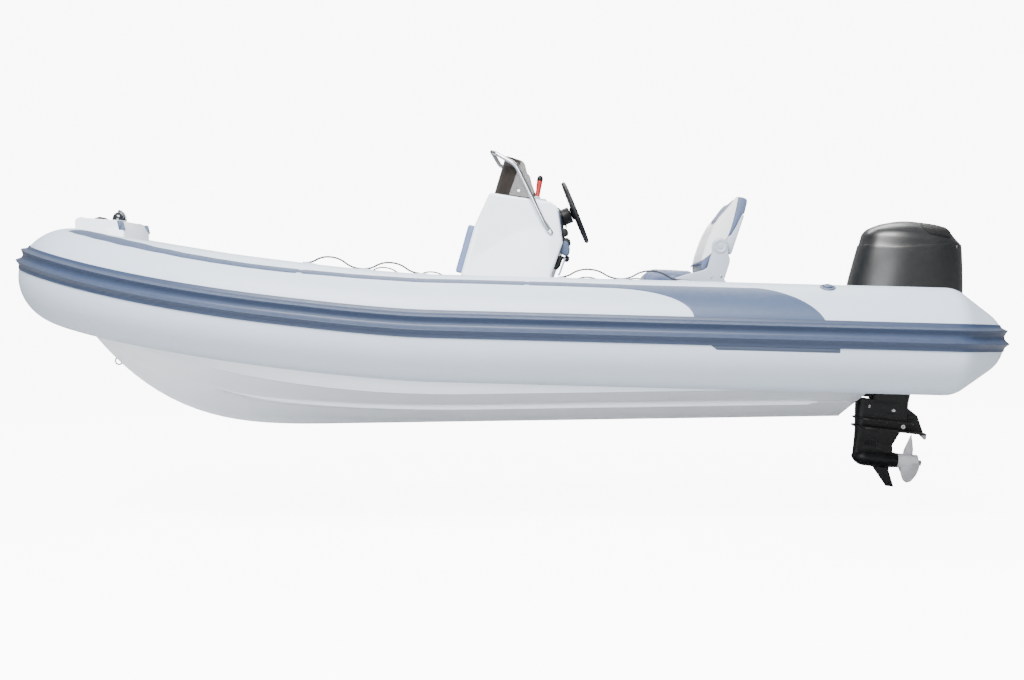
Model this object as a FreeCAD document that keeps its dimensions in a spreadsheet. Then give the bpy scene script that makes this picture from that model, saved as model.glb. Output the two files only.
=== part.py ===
import FreeCAD, Part
import math
import os
import re

import Sketcher
from FreeCAD import Placement, Rotation, Vector

# Rigid inflatable boat with a centre console and one outboard engine.
# Millimetres. +X points to the bow, +Y to port, +Z up. The origin is on the
# centreline at the waterline, above the aft end of the keel.

doc = FreeCAD.newDocument("RigidInflatableBoat")

SIZES = {
    # running gaps and overruns shared by all pieces
    "seat_gap": 0.3,
    "running_gap": 0.5,
    "overrun": 400.0,
    # inflated collar
    "collar_radius": 288.0,
    "collar_inset": 270.0,
    "collar_height": 196.0,
    "collar_aft_drop": 28.0,
    "stern_tip": 680.0,
    "cone_length": 345.0,
    "cone_nose_radius": 190.0,
    "bow_start": 3000.0,
    "bow_centre": 4648.0,
    "sheer_start": 2378.0,
    "sheer_rise": 242.0,
    # rubbing strake
    "strake_width": 145.0,
    "strake_thick": 5.0,
    "strake_rib_width": 53.0,
    "strake_rib_proud": 31.0,
    "strake_rib_pitch": 62.0,
    "strake_lift": 35.0,
    "strake_bow_lift": 45.0,
    # hull moulding
    "draught": 300.0,
    "stem_start": 3060.0,
    "stem_end": 4640.0,
    "stem_rise": 665.0,
    "chine_outset": 80.0,
    "chine_flat": 42.0,
    "chine_depth": 73.0,
    "chine_rise": 405.0,
    "chine_taper_start": 2000.0,
    "chine_lift_start": 2200.0,
    "rail_offset": 345.0,
    "rail_width": 46.0,
    "rail_height": 16.0,
    "rail_aft_end": 200.0,
    "rail_fore_end": 3720.0,
    # cockpit
    "cockpit_half": 640.0,
    "sole_top": 90.0,
    "deck_thick": 30.0,
    "well_front": 480.0,
    "well_wall_thick": 30.0,
    "well_wall_top": 330.0,
    "well_floor_top": 140.0,
    "bulkhead_x": 3200.0,
    "bulkhead_thick": 20.0,
    "foredeck_top": 500.0,
    # transom
    "transom_lean": 90.0,
    "transom_top": 210.0,
    "transom_thick": 60.0,
    "transom_shoulder_top": 330.0,
    "transom_notch_half": 330.0,
    # bow locker
    "locker_aft": 3330.0,
    "locker_fore": 3930.0,
    "locker_half": 290.0,
    "locker_floor": 150.0,
    "hatch_lap": 30.0,
    "hatch_thick": 22.0,
    "hatch_corner": 45.0,
    # bow step
    "step_aft": 4161.0,
    "step_fore": 4600.0,
    "step_half": 255.0,
    "step_aft_top": 915.0,
    "step_fore_top": 981.0,
    "step_corner": 60.0,
    # bow fittings
    "bow_light_x": 4338.0,
    "bow_light_radius": 41.0,
    "bow_light_height": 44.0,
    "fairlead_x": 4452.0,
    "fairlead_length": 58.0,
    "fairlead_width": 90.0,
    "fairlead_height": 16.0,
    "bow_eye_height": 106.0,
    "bow_eye_radius": 22.0,
    "eye_rod": 5.0,
    # console
    "console_half": 330.0,
    "console_rear_foot": 1760.0,
    "console_rear_low": 1740.0,
    "console_rear_low_top": 589.0,
    "console_knee": 1671.0,
    "console_knee_top": 776.0,
    "console_rear": 1698.0,
    "console_rear_top": 985.0,
    "console_dash": 1741.0,
    "console_dash_top": 1016.0,
    "dash_length": 349.0,
    "console_brow_top": 1075.0,
    "console_chest": 2187.0,
    "console_chest_top": 884.0,
    "console_waist": 2300.0,
    "console_seat_front": 2750.0,
    "console_seat_top": 450.0,
    "console_corner": 28.0,
    "console_wall": 25.0,
    # front seat and its back pad
    "front_seat_thick": 70.0,
    "back_pad_thick": 42.0,
    "back_pad_foot_top": 600.0,
    "pad_margin": 40.0,
    "pad_round": 18.0,
    # windscreen and rail
    "screen_half": 300.0,
    "screen_thick": 6.0,
    "screen_corner": 110.0,
    "screen_rear": 1832.0,
    "screen_top": 1301.0,
    "screen_top_front": 2007.0,
    "screen_top_rear": 1890.0,
    "screen_top_rear_top": 1250.0,
    "rail_tube": 12.5,
    "rail_half": 362.0,
    "rail_top_x": 2082.0,
    "rail_top_z": 1317.0,
    "rail_bend_x": 1920.0,
    "rail_bend_z": 1214.0,
    "rail_mid_x": 1855.0,
    "rail_mid_z": 1047.0,
    "rail_foot_x": 1744.0,
    "rail_foot_z": 834.0,
    "rail_bend_radius": 60.0,
    # steering wheel, helm and controls
    "wheel_x": 1598.0,
    "wheel_z": 975.0,
    "wheel_radius": 188.0,
    "wheel_rim": 12.0,
    "wheel_hub_radius": 34.0,
    "wheel_hub_length": 30.0,
    "wheel_shaft": 10.0,
    "spoke_radius": 8.0,
    "helm_radius": 50.0,
    "helm_standoff": 28.0,
    "wheel_lean": 73.0,
    "wheel_rise": 187.0,
    "panel_thick": 6.0,
    "control_x": 1829.0,
    "control_y": 235.0,
    "control_width": 78.0,
    "control_length": 150.0,
    "control_height": 46.0,
    "lever_height": 150.0,
    "lever_radius": 15.0,
    "grip_radius": 20.0,
    "grip_length": 46.0,
    # helm seat
    "seat_half": 285.0,
    "seat_base_aft": 760.0,
    "seat_base_fore": 1150.0,
    "seat_base_top": 500.0,
    "seat_front": 1211.0,
    "seat_rear": 895.0,
    "seat_top": 614.0,
    "seat_rear_top": 596.0,
    "back_front": 907.0,
    "back_front_foot": 632.0,
    "back_breast": 779.0,
    "back_breast_top": 912.0,
    "back_top_front": 648.0,
    "back_top": 1034.0,
    "back_top_rear": 577.0,
    "back_waist": 675.0,
    "back_waist_top": 694.0,
    "back_shell_thick": 62.0,
    "back_pivot_x": 746.0,
    "back_pivot_z": 735.0,
    "arm_thick": 22.0,
    "arm_knob_radius": 47.0,
    "arm_pin": 12.0,
    "arm_gap": 5.0,
    # grab lines, patches and valves on the collar
    "loop_1_aft": 1066.0,
    "loop_1_fore": 1309.0,
    "loop_2_aft": 1403.0,
    "loop_2_fore": 1649.0,
    "loop_3_aft": 2478.0,
    "loop_3_fore": 2708.0,
    "loop_4_aft": 2805.0,
    "loop_4_fore": 3029.0,
    "rope_radius": 5.0,
    "rope_rise": 48.0,
    "rope_inboard": 55.0,
    "patch_length": 92.0,
    "patch_width": 60.0,
    "patch_thick": 8.0,
    "valve_x": 279.0,
    "valve_radius": 42.0,
    "valve_proud": 7.0,
    # outboard engine: its own upright frame starts on the tilt axis
    "tilt_x": 135.0,
    "tilt_z": 245.0,
    "trim_run": 75.0,
    "trim_rise": 570.0,
    "tilt_tube": 14.0,
    "clamp_half": 112.0,
    "clamp_thick": 20.0,
    "clamp_depth": 330.0,
    "swivel_x": 68.0,
    "swivel_radius": 40.0,
    "swivel_pin": 17.0,
    "swivel_top": 30.0,
    "swivel_foot": 395.0,
    "swivel_half": 80.0,
    "steer_arm_thick": 22.0,
    "steer_arm_reach": 40.0,
    "cowl_seam": 225.0,
    "cowl_top": 683.0,
    "cowl_front": 97.0,
    "cowl_rear": 597.0,
    "cowl_half": 205.0,
    "cowl_wall": 6.0,
    "apron_front_foot": 135.0,
    "leg_top": 20.0,
    "leg_step": 424.0,
    "leg_front": 30.0,
    "leg_rear": 352.0,
    "leg_half": 50.0,
    "splash_plate_depth": 556.0,
    "plate_depth": 606.0,
    "plate_thick": 10.0,
    "plate_rear": 462.0,
    "plate_half": 125.0,
    "shaft_depth": 787.0,
    "torpedo_front": 44.0,
    "torpedo_rear": 326.0,
    "torpedo_radius": 55.0,
    "skeg_depth": 951.0,
    "skeg_thick": 12.0,
    "tab_length": 58.0,
    "tab_height": 40.0,
    "prop_hub_radius": 44.0,
    "prop_hub_length": 122.0,
    "prop_radius": 168.0,
    "prop_pitch": 430.0,
    "prop_shaft": 14.0,
    "nut_radius": 19.0,
    "nut_length": 26.0,
    "block_length": 430.0,
    "block_width": 300.0,
    "block_height": 330.0,
}

# Dimensionless shares
COLLAR_SLOPE_SHARE = 0.0414
SHEER_POWER_SHARE = 1.45
STEM_POWER_SHARE = 3.25
CHINE_TAPER_SHARE = 2.2
CHINE_LIFT_SHARE = 2.0
BEND_SHARE = 0.6
RIB_WAIST_SHARE = 0.42
RIB_SHOULDER_SHARE = 0.52
RIB_CREST_SHARE = 0.2
HULL_STATION_SHARES = (0.18, 0.34, 0.46, 0.57, 0.67, 0.76, 0.84, 0.91, 0.96, 0.993)
CONE_SLOPE = math.radians(35.4)

# Measures that are the sum of others
FOLLOWS = {
    "collar_spread": "cockpit_half + collar_inset",
    "chine_half_beam": "cockpit_half + chine_outset",
    "console_brow": "console_dash + dash_length",
}

sheet = doc.addObject("Spreadsheet::Sheet", "Sizes")
for row, (alias, value) in enumerate(SIZES.items(), 1):
    sheet.set(f"A{row}", alias)
    sheet.set(f"B{row}", str(value))
    sheet.setAlias(f"B{row}", alias)
doc.recompute()

pieces = []


def size(alias):
    """A driving dimension, read from the sheet, or the sum of those that it follows."""
    if alias in FOLLOWS:
        return sum(size(word) for word in FOLLOWS[alias].split(" + "))
    return float(sheet.get(alias))


def formula(text):
    """The same sum with every alias pointed at the sheet."""
    for alias, words in FOLLOWS.items():
        text = re.sub(rf"\b{alias}\b", f"({words})", text)
    return re.sub(r"[a-z]\w+", lambda word: "Sizes." + word.group(0), text)


def keep(item, label):
    """Name a finished sub-part and list it for export."""
    item.Label = label
    pieces.append(item)
    return item


def feature(label, shape):
    """A sub-part whose form no stock feature gives."""
    item = doc.addObject("Part::Feature", label)
    item.Shape = shape
    return keep(item, label)


def helper(name, shape):
    """A tool shape that other features cut with."""
    item = doc.addObject("Part::Feature", name)
    item.Shape = shape
    return item


def boolean(kind, name, base, tool):
    item = doc.addObject("Part::" + kind, name)
    item.Base = base
    item.Tool = tool
    return item


def sketch(body, name, role, corners, base=None):
    """A closed outline whose corners follow formulas of the sheet."""
    item = body.newObject("Sketcher::SketchObject", name)
    plane = [part for part in body.Origin.OriginFeatures if part.Role == role][0]
    item.AttachmentSupport = [(plane, "")]
    item.MapMode = "FlatFace"
    if base:
        item.setExpression("AttachmentOffset.Base.z", formula(base))
    count = len(corners)
    turn = math.tau / count
    spots = [Vector(math.cos(turn * n), math.sin(turn * n), 0) for n in range(count)]
    for n, spot in enumerate(spots):
        item.addGeometry(Part.LineSegment(spot, spots[(n + 1) % count]))
    for n in range(count):
        item.addConstraint(Sketcher.Constraint("Coincident", n, 2, (n + 1) % count, 1))
    for n, (across, up) in enumerate(corners):
        for kind, rule, start in (("DistanceX", across, spots[n].x), ("DistanceY", up, spots[n].y)):
            index = item.addConstraint(Sketcher.Constraint(kind, -1, 1, n, 1, start))
            item.setExpression(f"Constraints[{index}]", formula(rule))
    return item


def pad(body, profile, length, symmetric=True, backwards=False):
    item = body.newObject("PartDesign::Pad", profile.Name + "_pad")
    item.Profile = profile
    item.SideType = "Symmetric" if symmetric else "One side"
    item.Reversed = backwards
    item.setExpression("Length", formula(length))
    return item


def pocket(body, profile, length, symmetric=True, backwards=False):
    item = body.newObject("PartDesign::Pocket", profile.Name + "_pocket")
    item.Profile = profile
    item.SideType = "Symmetric" if symmetric else "One side"
    item.Reversed = backwards
    item.setExpression("Length", formula(length))
    return item


def fillet(body, last, radius, wanted):
    """Round the edges of the last feature that the test picks."""
    doc.recompute()
    names = [f"Edge{n}" for n, edge in enumerate(last.Shape.Edges, 1) if wanted(edge)]
    item = body.newObject("PartDesign::Fillet", last.Name + "_round")
    item.Base = (last, names)
    item.setExpression("Radius", formula(radius))
    return item


def runs_along(axis, level=None):
    """A test for straight edges along one axis, at one height or any."""
    def test(edge):
        if edge.Curve.TypeId != "Part::GeomLine":
            return False
        first, last = (vertex.Point for vertex in edge.Vertexes)
        along = (last - first).normalize()
        if abs(abs(along.dot(axis)) - 1) > 0.001:
            return False
        return level is None or abs(first.z - level) < 1
    return test


def block(label, corners, width, role="XZ_Plane", radius=None, wanted=None):
    """A padded outline, its chosen edges rounded."""
    body = doc.addObject("PartDesign::Body", label)
    last = pad(body, sketch(body, label + "_outline", role, corners), width)
    if radius:
        last = fillet(body, last, radius, wanted)
    body.Tip = last
    return body


# Lines of the collar and the hull


def sheer(x):
    """Height of the collar's centre at a station along the boat."""
    rise = size("collar_height") + COLLAR_SLOPE_SHARE * x
    start = size("sheer_start")
    if x > start:
        share = (x - start) / (size("bow_centre") - start)
        rise += size("sheer_rise") * share ** SHEER_POWER_SHARE
    return rise


def collar_spine(turn):
    """Centre of the collar: straight sides, then half an ellipse round the bow.

    Turn is zero where the bow curve starts and a quarter turn at the bow."""
    reach = size("bow_centre") - size("bow_start")
    x = size("bow_start") + reach * math.sin(turn)
    y = size("collar_spread") * math.cos(turn)
    return Vector(x, y, sheer(x))


def straight_heading():
    """Direction of the straight sides, pointing forward."""
    return Vector(1, 0, COLLAR_SLOPE_SHARE).normalize()


def shoulder():
    """Centre of the collar where the stern cone begins."""
    x = size("cone_length") - size("stern_tip")
    return Vector(x, size("collar_spread"), sheer(x))


def bow_frames():
    """Centre and heading of each section of the port bow, from the first rise to the bow."""
    start = size("sheer_start")
    spread = size("collar_spread")
    step = (size("bow_start") - start) / 2
    small = 0.001

    def rising(x):
        return Vector(x, spread, sheer(x))

    frames = [(rising(start), straight_heading())]
    frames.append((rising(start + step), (rising(start + step + 1) - rising(start + step - 1)).normalize()))
    for angle in range(0, 90, 10):
        turn = math.radians(angle)
        ahead = collar_spine(turn + small)
        behind = collar_spine(turn - small) if angle else rising(start + 2 * step - 1)
        frames.append((collar_spine(turn), (ahead - behind).normalize()))
    frames.append((collar_spine(math.pi / 2), Vector(0, -1, 0)))
    return frames


def facing(spot, heading):
    """Placement with local x outboard, local y up and local z along the heading."""
    side = Vector(0, 0, 1).cross(heading).normalize()
    return Placement(spot, Rotation(side, heading.cross(side), heading, "ZXY"))


def cone_marks(radius):
    """Where the rounded nose meets the cone's slope, where the slope would meet the full
    radius, and how far the shoulder's bend reaches each way from there."""
    nose = size("cone_nose_radius") * radius / size("collar_radius")
    joint = Vector(nose - size("cone_length") - nose * math.sin(CONE_SLOPE), nose * math.cos(CONE_SLOPE), 0)
    crest = Vector(joint.x + (radius - joint.y) / math.tan(CONE_SLOPE), radius, 0)
    return nose, joint, crest, -crest.x * BEND_SHARE


def cone_outline(radius):
    """Half outline of the rounded stern cone, along x, from its shoulder to its tip."""
    nose, joint, crest, bend = cone_marks(radius)
    tip = Vector(-size("cone_length"), 0, 0)
    half = (CONE_SLOPE + math.pi / 2) / 2
    middle = Vector(nose - size("cone_length") - nose * math.sin(half), nose * math.cos(half), 0)
    first = crest + Vector(bend, 0, 0)
    last = crest - Vector(math.cos(CONE_SLOPE), math.sin(CONE_SLOPE), 0) * bend
    shoulder_bend = Part.BezierCurve()
    shoulder_bend.setPoles([first, crest, last])
    return [
        Part.LineSegment(Vector(0, radius, 0), first).toShape(),
        shoulder_bend.toShape(),
        Part.LineSegment(last, joint).toShape(),
        Part.Arc(joint, middle, tip).toShape(),
    ]


def cone_shape(radius):
    """Port stern cone of the tube."""
    edges = cone_outline(radius) + [
        Part.LineSegment(Vector(-size("cone_length"), 0, 0), Vector()).toShape(),
        Part.LineSegment(Vector(), Vector(0, radius, 0)).toShape(),
    ]
    cone = Part.Face(Part.Wire(edges)).revolve(Vector(), Vector(1, 0, 0), 360)
    along = straight_heading()
    across = Vector(0, 1, 0)
    cone.Placement = Placement(shoulder(), Rotation(along, across, along.cross(across), "XYZ"))
    return cone


def collar_shape(radius):
    """The whole inflated tube, both stern cones included."""
    rings = []
    for spot, heading in bow_frames():
        ring = Part.Wire(Part.Circle(Vector(), Vector(0, 0, 1), radius).toShape())
        ring.Placement = facing(spot, heading)
        rings.append(ring)
    bow = Part.makeLoft(rings, True, True)
    along = straight_heading()
    start = shoulder()
    reach = (bow_frames()[0][0] - start).Length
    side = Part.makeCylinder(radius, reach, start, along)
    port = cone_shape(radius).fuse([side, bow])
    return port.fuse(port.mirror(Vector(), Vector(0, 1, 0)))


def strake_section(bend_radius, lift):
    """Cross-section of the rubbing strake on a surface bent to this radius.

    Local x points out of the collar and local y up; the lift is along the surface."""
    inner = bend_radius + size("seat_gap")
    outer = inner + size("strake_thick")
    crest = inner + size("strake_rib_proud")
    half = size("strake_width") / 2
    rib = size("strake_rib_width") / 2
    pitch = size("strake_rib_pitch") / 2

    def at(radius, along):
        turn = (lift + along) / bend_radius
        return Vector(radius * math.cos(turn), radius * math.sin(turn), 0)

    def arc(radius, first, last):
        return Part.Arc(at(radius, first), at(radius, (first + last) / 2), at(radius, last)).toShape()

    def ridge(middle):
        waist = outer + (crest - outer) * RIB_WAIST_SHARE
        narrow = rib * RIB_CREST_SHARE
        spots = [at(outer, middle + rib), at(waist, middle + rib * RIB_SHOULDER_SHARE), at(crest, middle + narrow),
                 at(crest, middle - narrow), at(waist, middle - rib * RIB_SHOULDER_SHARE), at(outer, middle - rib)]
        return [Part.LineSegment(spots[n], spots[n + 1]).toShape() for n in range(5)]

    edges = [
        arc(inner, -half, half),
        Part.LineSegment(at(inner, half), at(outer, half)).toShape(),
        arc(outer, half, pitch + rib),
        *ridge(pitch),
        arc(outer, pitch - rib, rib - pitch),
        *ridge(-pitch),
        arc(outer, -pitch - rib, -half),
        Part.LineSegment(at(outer, -half), at(inner, -half)).toShape(),
    ]
    return Part.Wire(edges)


def cone_strake_frames():
    """Sections of the strake round the port stern cone, from its tip to its shoulder."""
    radius = size("collar_radius")
    heading = straight_heading()
    nose, joint, crest, bend = cone_marks(radius)
    marks = []
    for angle in (88, 76, 64, 52, 40):
        turn = math.radians(angle)
        marks.append((nose - size("cone_length") - nose * math.sin(turn), nose * math.cos(turn), turn))
    for share in (0.1, 0.4, 0.7):
        spot = joint + (crest - joint) * share
        marks.append((spot.x, spot.y, CONE_SLOPE))
    rounded = bend / 4
    marks.append((crest.x + rounded * (1 - math.cos(CONE_SLOPE)),
                  radius - rounded * math.sin(CONE_SLOPE), CONE_SLOPE / 2))
    marks.append((crest.x + bend, radius, 0))
    marks.append((0, radius, 0))
    placed = []
    for along, reach, turn in marks:
        side = Vector(0, 1, 0) * math.cos(turn) - heading * math.sin(turn)
        run = Vector(0, 1, 0) * math.sin(turn) + heading * math.cos(turn)
        middle = shoulder() + heading * (along + reach * math.tan(turn))
        placed.append((Placement(middle, Rotation(side, run.cross(side), run, "ZXY")), reach / math.cos(turn)))
    return placed


def strake_wire(placement, bend, lift):
    wire = strake_section(bend, lift)
    wire.Placement = placement
    return wire


def strake_shape():
    """Port half in three runs, the starboard half its mirror image."""
    radius = size("collar_radius")
    lift = size("strake_lift")
    start = size("sheer_start")
    tail = [strake_wire(placement, bend, lift) for placement, bend in cone_strake_frames()]
    bow = []
    for spot, heading in bow_frames():
        share = ((spot.x - start) / (size("bow_centre") - start)) ** SHEER_POWER_SHARE
        bow.append(strake_wire(facing(spot, heading), radius, lift + size("strake_bow_lift") * share))
    side = Part.Face(tail[-1]).extrude(bow_frames()[0][0] - shoulder())
    wrap = Part.makeLoft(tail, True, True).cut(cone_shape(radius + size("seat_gap")))
    port = wrap.fuse([side, Part.makeLoft(bow, True, True)])
    return port.fuse(port.mirror(Vector(), Vector(0, 1, 0)))


def keel_height(x):
    """Keel line: level, then rising into the stem."""
    share = max(0.0, (x - size("stem_start")) / (size("stem_end") - size("stem_start")))
    return -size("draught") + size("stem_rise") * share ** STEM_POWER_SHARE


def chine(x):
    """Half-beam and height of the chine at a station."""
    taper = max(0.0, (x - size("chine_taper_start")) / (size("stem_end") - size("chine_taper_start")))
    lift = max(0.0, (x - size("chine_lift_start")) / (size("stem_end") - size("chine_lift_start")))
    half = size("chine_half_beam") * max(0.01, 1 - taper ** CHINE_TAPER_SHARE)
    return half, -size("chine_depth") + size("chine_rise") * lift ** CHINE_LIFT_SHARE


def spine_half_beam(x):
    """Half-spread of the collar's centre at a station."""
    share = max(0.0, (x - size("bow_start")) / (size("bow_centre") - size("bow_start")))
    return size("collar_spread") * math.sqrt(max(0.0, 1 - share ** 2))


def hull_section(x):
    """Closed hull section: vee bottom, chine flat, sides running up inside the collar."""
    half, low = chine(x)
    keel = keel_height(x)
    flat = size("chine_flat") * half / size("chine_half_beam")
    side = max(half + flat, spine_half_beam(x) * 0.94)
    top = sheer(x) - size("collar_radius") * 0.3
    port = [Vector(x, half, low), Vector(x, half + flat, low), Vector(x, side, top)]
    starboard = [Vector(spot.x, -spot.y, spot.z) for spot in reversed(port)]
    return Part.makePolygon([Vector(x, 0, keel)] + port + starboard + [Vector(x, 0, keel)])


def spray_rail(side):
    """Triangular rail moulded along the bottom, fading out at both ends."""
    aft = size("rail_aft_end")
    fore = size("rail_fore_end")
    wires = []
    for share in (0, 0.06, 0.4, 0.75, 0.93, 1):
        x = aft + (fore - aft) * share
        half, low = chine(x)
        keel = keel_height(x)
        grow = 0.15 if share in (0, 1) else 1
        inner = size("rail_offset") * half / size("chine_half_beam")
        outer = inner + size("rail_width") * grow
        rise = (low - keel) / half
        depth = size("rail_height") * grow
        spots = [
            Vector(x, side * inner, keel + rise * inner + depth * 0.3),
            Vector(x, side * outer, keel + rise * outer - depth),
            Vector(x, side * outer, keel + rise * outer + depth),
            Vector(x, side * inner, keel + rise * inner + depth),
        ]
        wires.append(Part.makePolygon(spots + spots[:1]))
    return Part.makeLoft(wires, True, True)


def hull_shape(room):
    """Hull moulding with the cockpit, the locker and the collar's seat cut out."""
    aft = -size("transom_lean") * 1.6
    stations = [aft, 0.25 * size("stem_start"), size("chine_taper_start")]
    reach = size("stem_end") - size("chine_taper_start")
    stations += [size("chine_taper_start") + reach * share for share in HULL_STATION_SHARES]
    moulding = Part.makeLoft([hull_section(x) for x in stations], True, True)
    moulding = moulding.fuse([spray_rail(1), spray_rail(-1)])
    over = size("overrun")
    depth = size("sole_top") - size("deck_thick")
    half = size("cockpit_half")
    cockpit = Part.makeBox(size("bulkhead_x") + 2 * over, 2 * half, over * 3, Vector(-2 * over, -half, depth))
    lid = size("foredeck_top") - size("deck_thick")
    above = Part.makeBox(size("bow_centre"), 2 * size("collar_spread"), over * 2,
                         Vector(size("bulkhead_x") - size("seat_gap"), -size("collar_spread"), lid))
    wall = size("hatch_lap")
    locker = Part.makeBox(size("locker_fore") - size("locker_aft") + wall, 2 * (size("locker_half") + wall),
                          lid - size("locker_floor") + over,
                          Vector(size("locker_aft") - wall / 2, -size("locker_half") - wall,
                                 size("locker_floor")))
    return moulding.cut([cockpit, above, locker, transom_cut(), room]).removeSplitter()


def transom_face(z):
    """Station of the transom's aft face at a height: it leans aft going up."""
    return -size("transom_lean") * (z + size("draught")) / (size("transom_top") + size("draught"))


def transom_cut():
    """Everything aft of the leaning transom."""
    low = -size("draught") - size("overrun")
    high = size("overrun")
    wide = 2 * size("collar_spread")
    far = -2 * size("overrun")
    spots = [Vector(transom_face(low), -wide, low), Vector(transom_face(high), -wide, high),
             Vector(far, -wide, high), Vector(far, -wide, low)]
    return Part.Face(Part.makePolygon(spots + spots[:1])).extrude(Vector(0, 2 * wide, 0))


room = helper("collar_room", collar_shape(size("collar_radius") + size("seat_gap")))
feature("collar", collar_shape(size("collar_radius")))
feature("rub_strake", strake_shape())
hull = feature("hull", hull_shape(room.Shape))


# Deck, foredeck, transom and splash well

UP = Vector(0, 0, 1)
ACROSS = Vector(0, 1, 0)
ALONG = Vector(1, 0, 0)

deck = doc.addObject("PartDesign::Body", "deck_sole")
outline = sketch(deck, "sole", "XY_Plane", [
    ("well_front", "-(cockpit_half - running_gap)"),
    ("bulkhead_x - bulkhead_thick", "-(cockpit_half - running_gap)"),
    ("bulkhead_x - bulkhead_thick", "cockpit_half - running_gap"),
    ("well_front", "cockpit_half - running_gap"),
], "sole_top")
deck.Tip = pad(deck, outline, "deck_thick", False, True)
deck_cut = boolean("Cut", "deck_fitted", deck, room)
keep(deck_cut, "deck")

foredeck = doc.addObject("PartDesign::Body", "foredeck_moulding")
outline = sketch(foredeck, "foredeck_side", "XZ_Plane", [
    ("bulkhead_x - bulkhead_thick", "sole_top - deck_thick"),
    ("bulkhead_x - seat_gap", "sole_top - deck_thick"),
    ("bulkhead_x - seat_gap", "foredeck_top - deck_thick"),
    ("bow_centre - collar_radius * 0.7", "foredeck_top - deck_thick"),
    ("bow_centre - collar_radius * 0.7", "foredeck_top"),
    ("bulkhead_x - bulkhead_thick", "foredeck_top"),
])
last = pad(foredeck, outline, "2 * cockpit_half - 2 * running_gap")
hole = sketch(foredeck, "hatch_hole", "XY_Plane", [
    ("locker_aft", "-locker_half"), ("locker_fore", "-locker_half"),
    ("locker_fore", "locker_half"), ("locker_aft", "locker_half"),
], "foredeck_top")
last = pocket(foredeck, hole, "2 * deck_thick", False)
foredeck.Tip = last
keep(boolean("Cut", "foredeck_fitted", foredeck, room), "foredeck")

transom_board = block("transom_board", [
    ("-cockpit_half + running_gap", "sole_top - deck_thick"),
    ("cockpit_half - running_gap", "sole_top - deck_thick"),
    ("cockpit_half - running_gap", "transom_shoulder_top"),
    ("transom_notch_half + transom_thick", "transom_shoulder_top"),
    ("transom_notch_half", "transom_top"),
    ("-transom_notch_half", "transom_top"),
    ("-transom_notch_half - transom_thick", "transom_shoulder_top"),
    ("-cockpit_half + running_gap", "transom_shoulder_top"),
], "2 * overrun", "YZ_Plane")
lean = "transom_lean / (transom_top + draught)"
transom_lean = block("transom_rake", [
    (f"-{lean} * (draught - overrun)", "-overrun"),
    (f"-{lean} * (draught - overrun) + transom_thick", "-overrun"),
    (f"-{lean} * (draught + overrun) + transom_thick", "overrun"),
    (f"-{lean} * (draught + overrun)", "overrun"),
], "2 * cockpit_half")
raked = boolean("Common", "transom_raked", transom_board, transom_lean)
keep(boolean("Cut", "transom_fitted", raked, room), "transom")

front = f"-{lean} * (draught + well_floor_top) + transom_thick + seat_gap"
foot = f"-{lean} * (draught + sole_top - deck_thick) + transom_thick + seat_gap"
well = block("well_tray", [
    (foot, "sole_top - deck_thick"),
    ("well_front - seat_gap", "sole_top - deck_thick"),
    ("well_front - seat_gap", "well_wall_top"),
    ("well_front - well_wall_thick", "well_wall_top"),
    ("well_front - 2 * well_wall_thick", "well_floor_top"),
    (front, "well_floor_top"),
], "2 * cockpit_half - 2 * running_gap")
keep(boolean("Cut", "well_fitted", well, room), "splash_well")

# Bow step, hatch and bow fittings

step = block("bow_step_block", [
    ("step_aft", "foredeck_top"),
    ("step_fore", "foredeck_top"),
    ("step_fore", "step_fore_top - step_corner"),
    ("step_fore - step_corner * 0.4", "step_fore_top"),
    ("step_aft + step_corner * 0.5", "step_aft_top + deck_thick * 0.5"),
    ("step_aft", "step_aft_top - step_corner"),
], "2 * step_half", "XZ_Plane", "step_corner", runs_along(UP))
keep(boolean("Cut", "bow_step_fitted", step, room), "bow_step")

hatch = doc.addObject("PartDesign::Body", "bow_hatch")
outline = sketch(hatch, "hatch_outline", "XY_Plane", [
    ("locker_aft - hatch_lap", "-locker_half - hatch_lap"),
    ("locker_fore + hatch_lap", "-locker_half - hatch_lap"),
    ("locker_fore + hatch_lap", "locker_half + hatch_lap"),
    ("locker_aft - hatch_lap", "locker_half + hatch_lap"),
], "foredeck_top + seat_gap")
last = fillet(hatch, pad(hatch, outline, "hatch_thick", False), "hatch_corner", runs_along(UP))
hatch.Tip = last
keep(hatch, "bow_hatch")


def step_top(x):
    """Height of the bow step's sloping top."""
    aft = size("step_aft") + size("step_corner") * 0.5
    fore = size("step_fore") - size("step_corner") * 0.4
    low = size("step_aft_top") + size("deck_thick") * 0.5
    return low + (size("step_fore_top") - low) * (x - aft) / (fore - aft)


def dome(radius, height):
    """Low dome on a straight skirt."""
    skirt = height * 0.35
    rise = height - skirt
    ball = (radius ** 2 + rise ** 2) / (2 * rise)
    rim = math.degrees(math.asin(1 - rise / ball))
    cap = Part.makeSphere(ball, Vector(0, 0, height - ball), Vector(0, 0, 1), rim, 90, 360)
    return cap.fuse(Part.makeCylinder(radius, skirt))


slope = math.degrees(math.atan2(step_top(1) - step_top(0), 1))
light = feature("bow_light", dome(size("bow_light_radius"), size("bow_light_height")))
light.Placement = Placement(Vector(size("bow_light_x"), 0, step_top(size("bow_light_x")) + size("seat_gap")),
                            Rotation(Vector(0, 1, 0), -slope))

fairlead = doc.addObject("Part::Box", "fairlead")
fairlead.setExpression("Length", formula("fairlead_length"))
fairlead.setExpression("Width", formula("fairlead_width"))
fairlead.setExpression("Height", formula("fairlead_height"))
fairlead.Placement = Placement(
    Vector(size("fairlead_x") - size("fairlead_length") / 2, -size("fairlead_width") / 2,
           step_top(size("fairlead_x") - size("fairlead_length") / 2) + size("seat_gap")),
    Rotation(Vector(0, 1, 0), -slope))
keep(fairlead, "fairlead")


def stem_station(z):
    """Station of the stem at a height."""
    share = ((z + size("draught")) / size("stem_rise")) ** (1 / STEM_POWER_SHARE)
    return size("stem_start") + (size("stem_end") - size("stem_start")) * share


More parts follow.
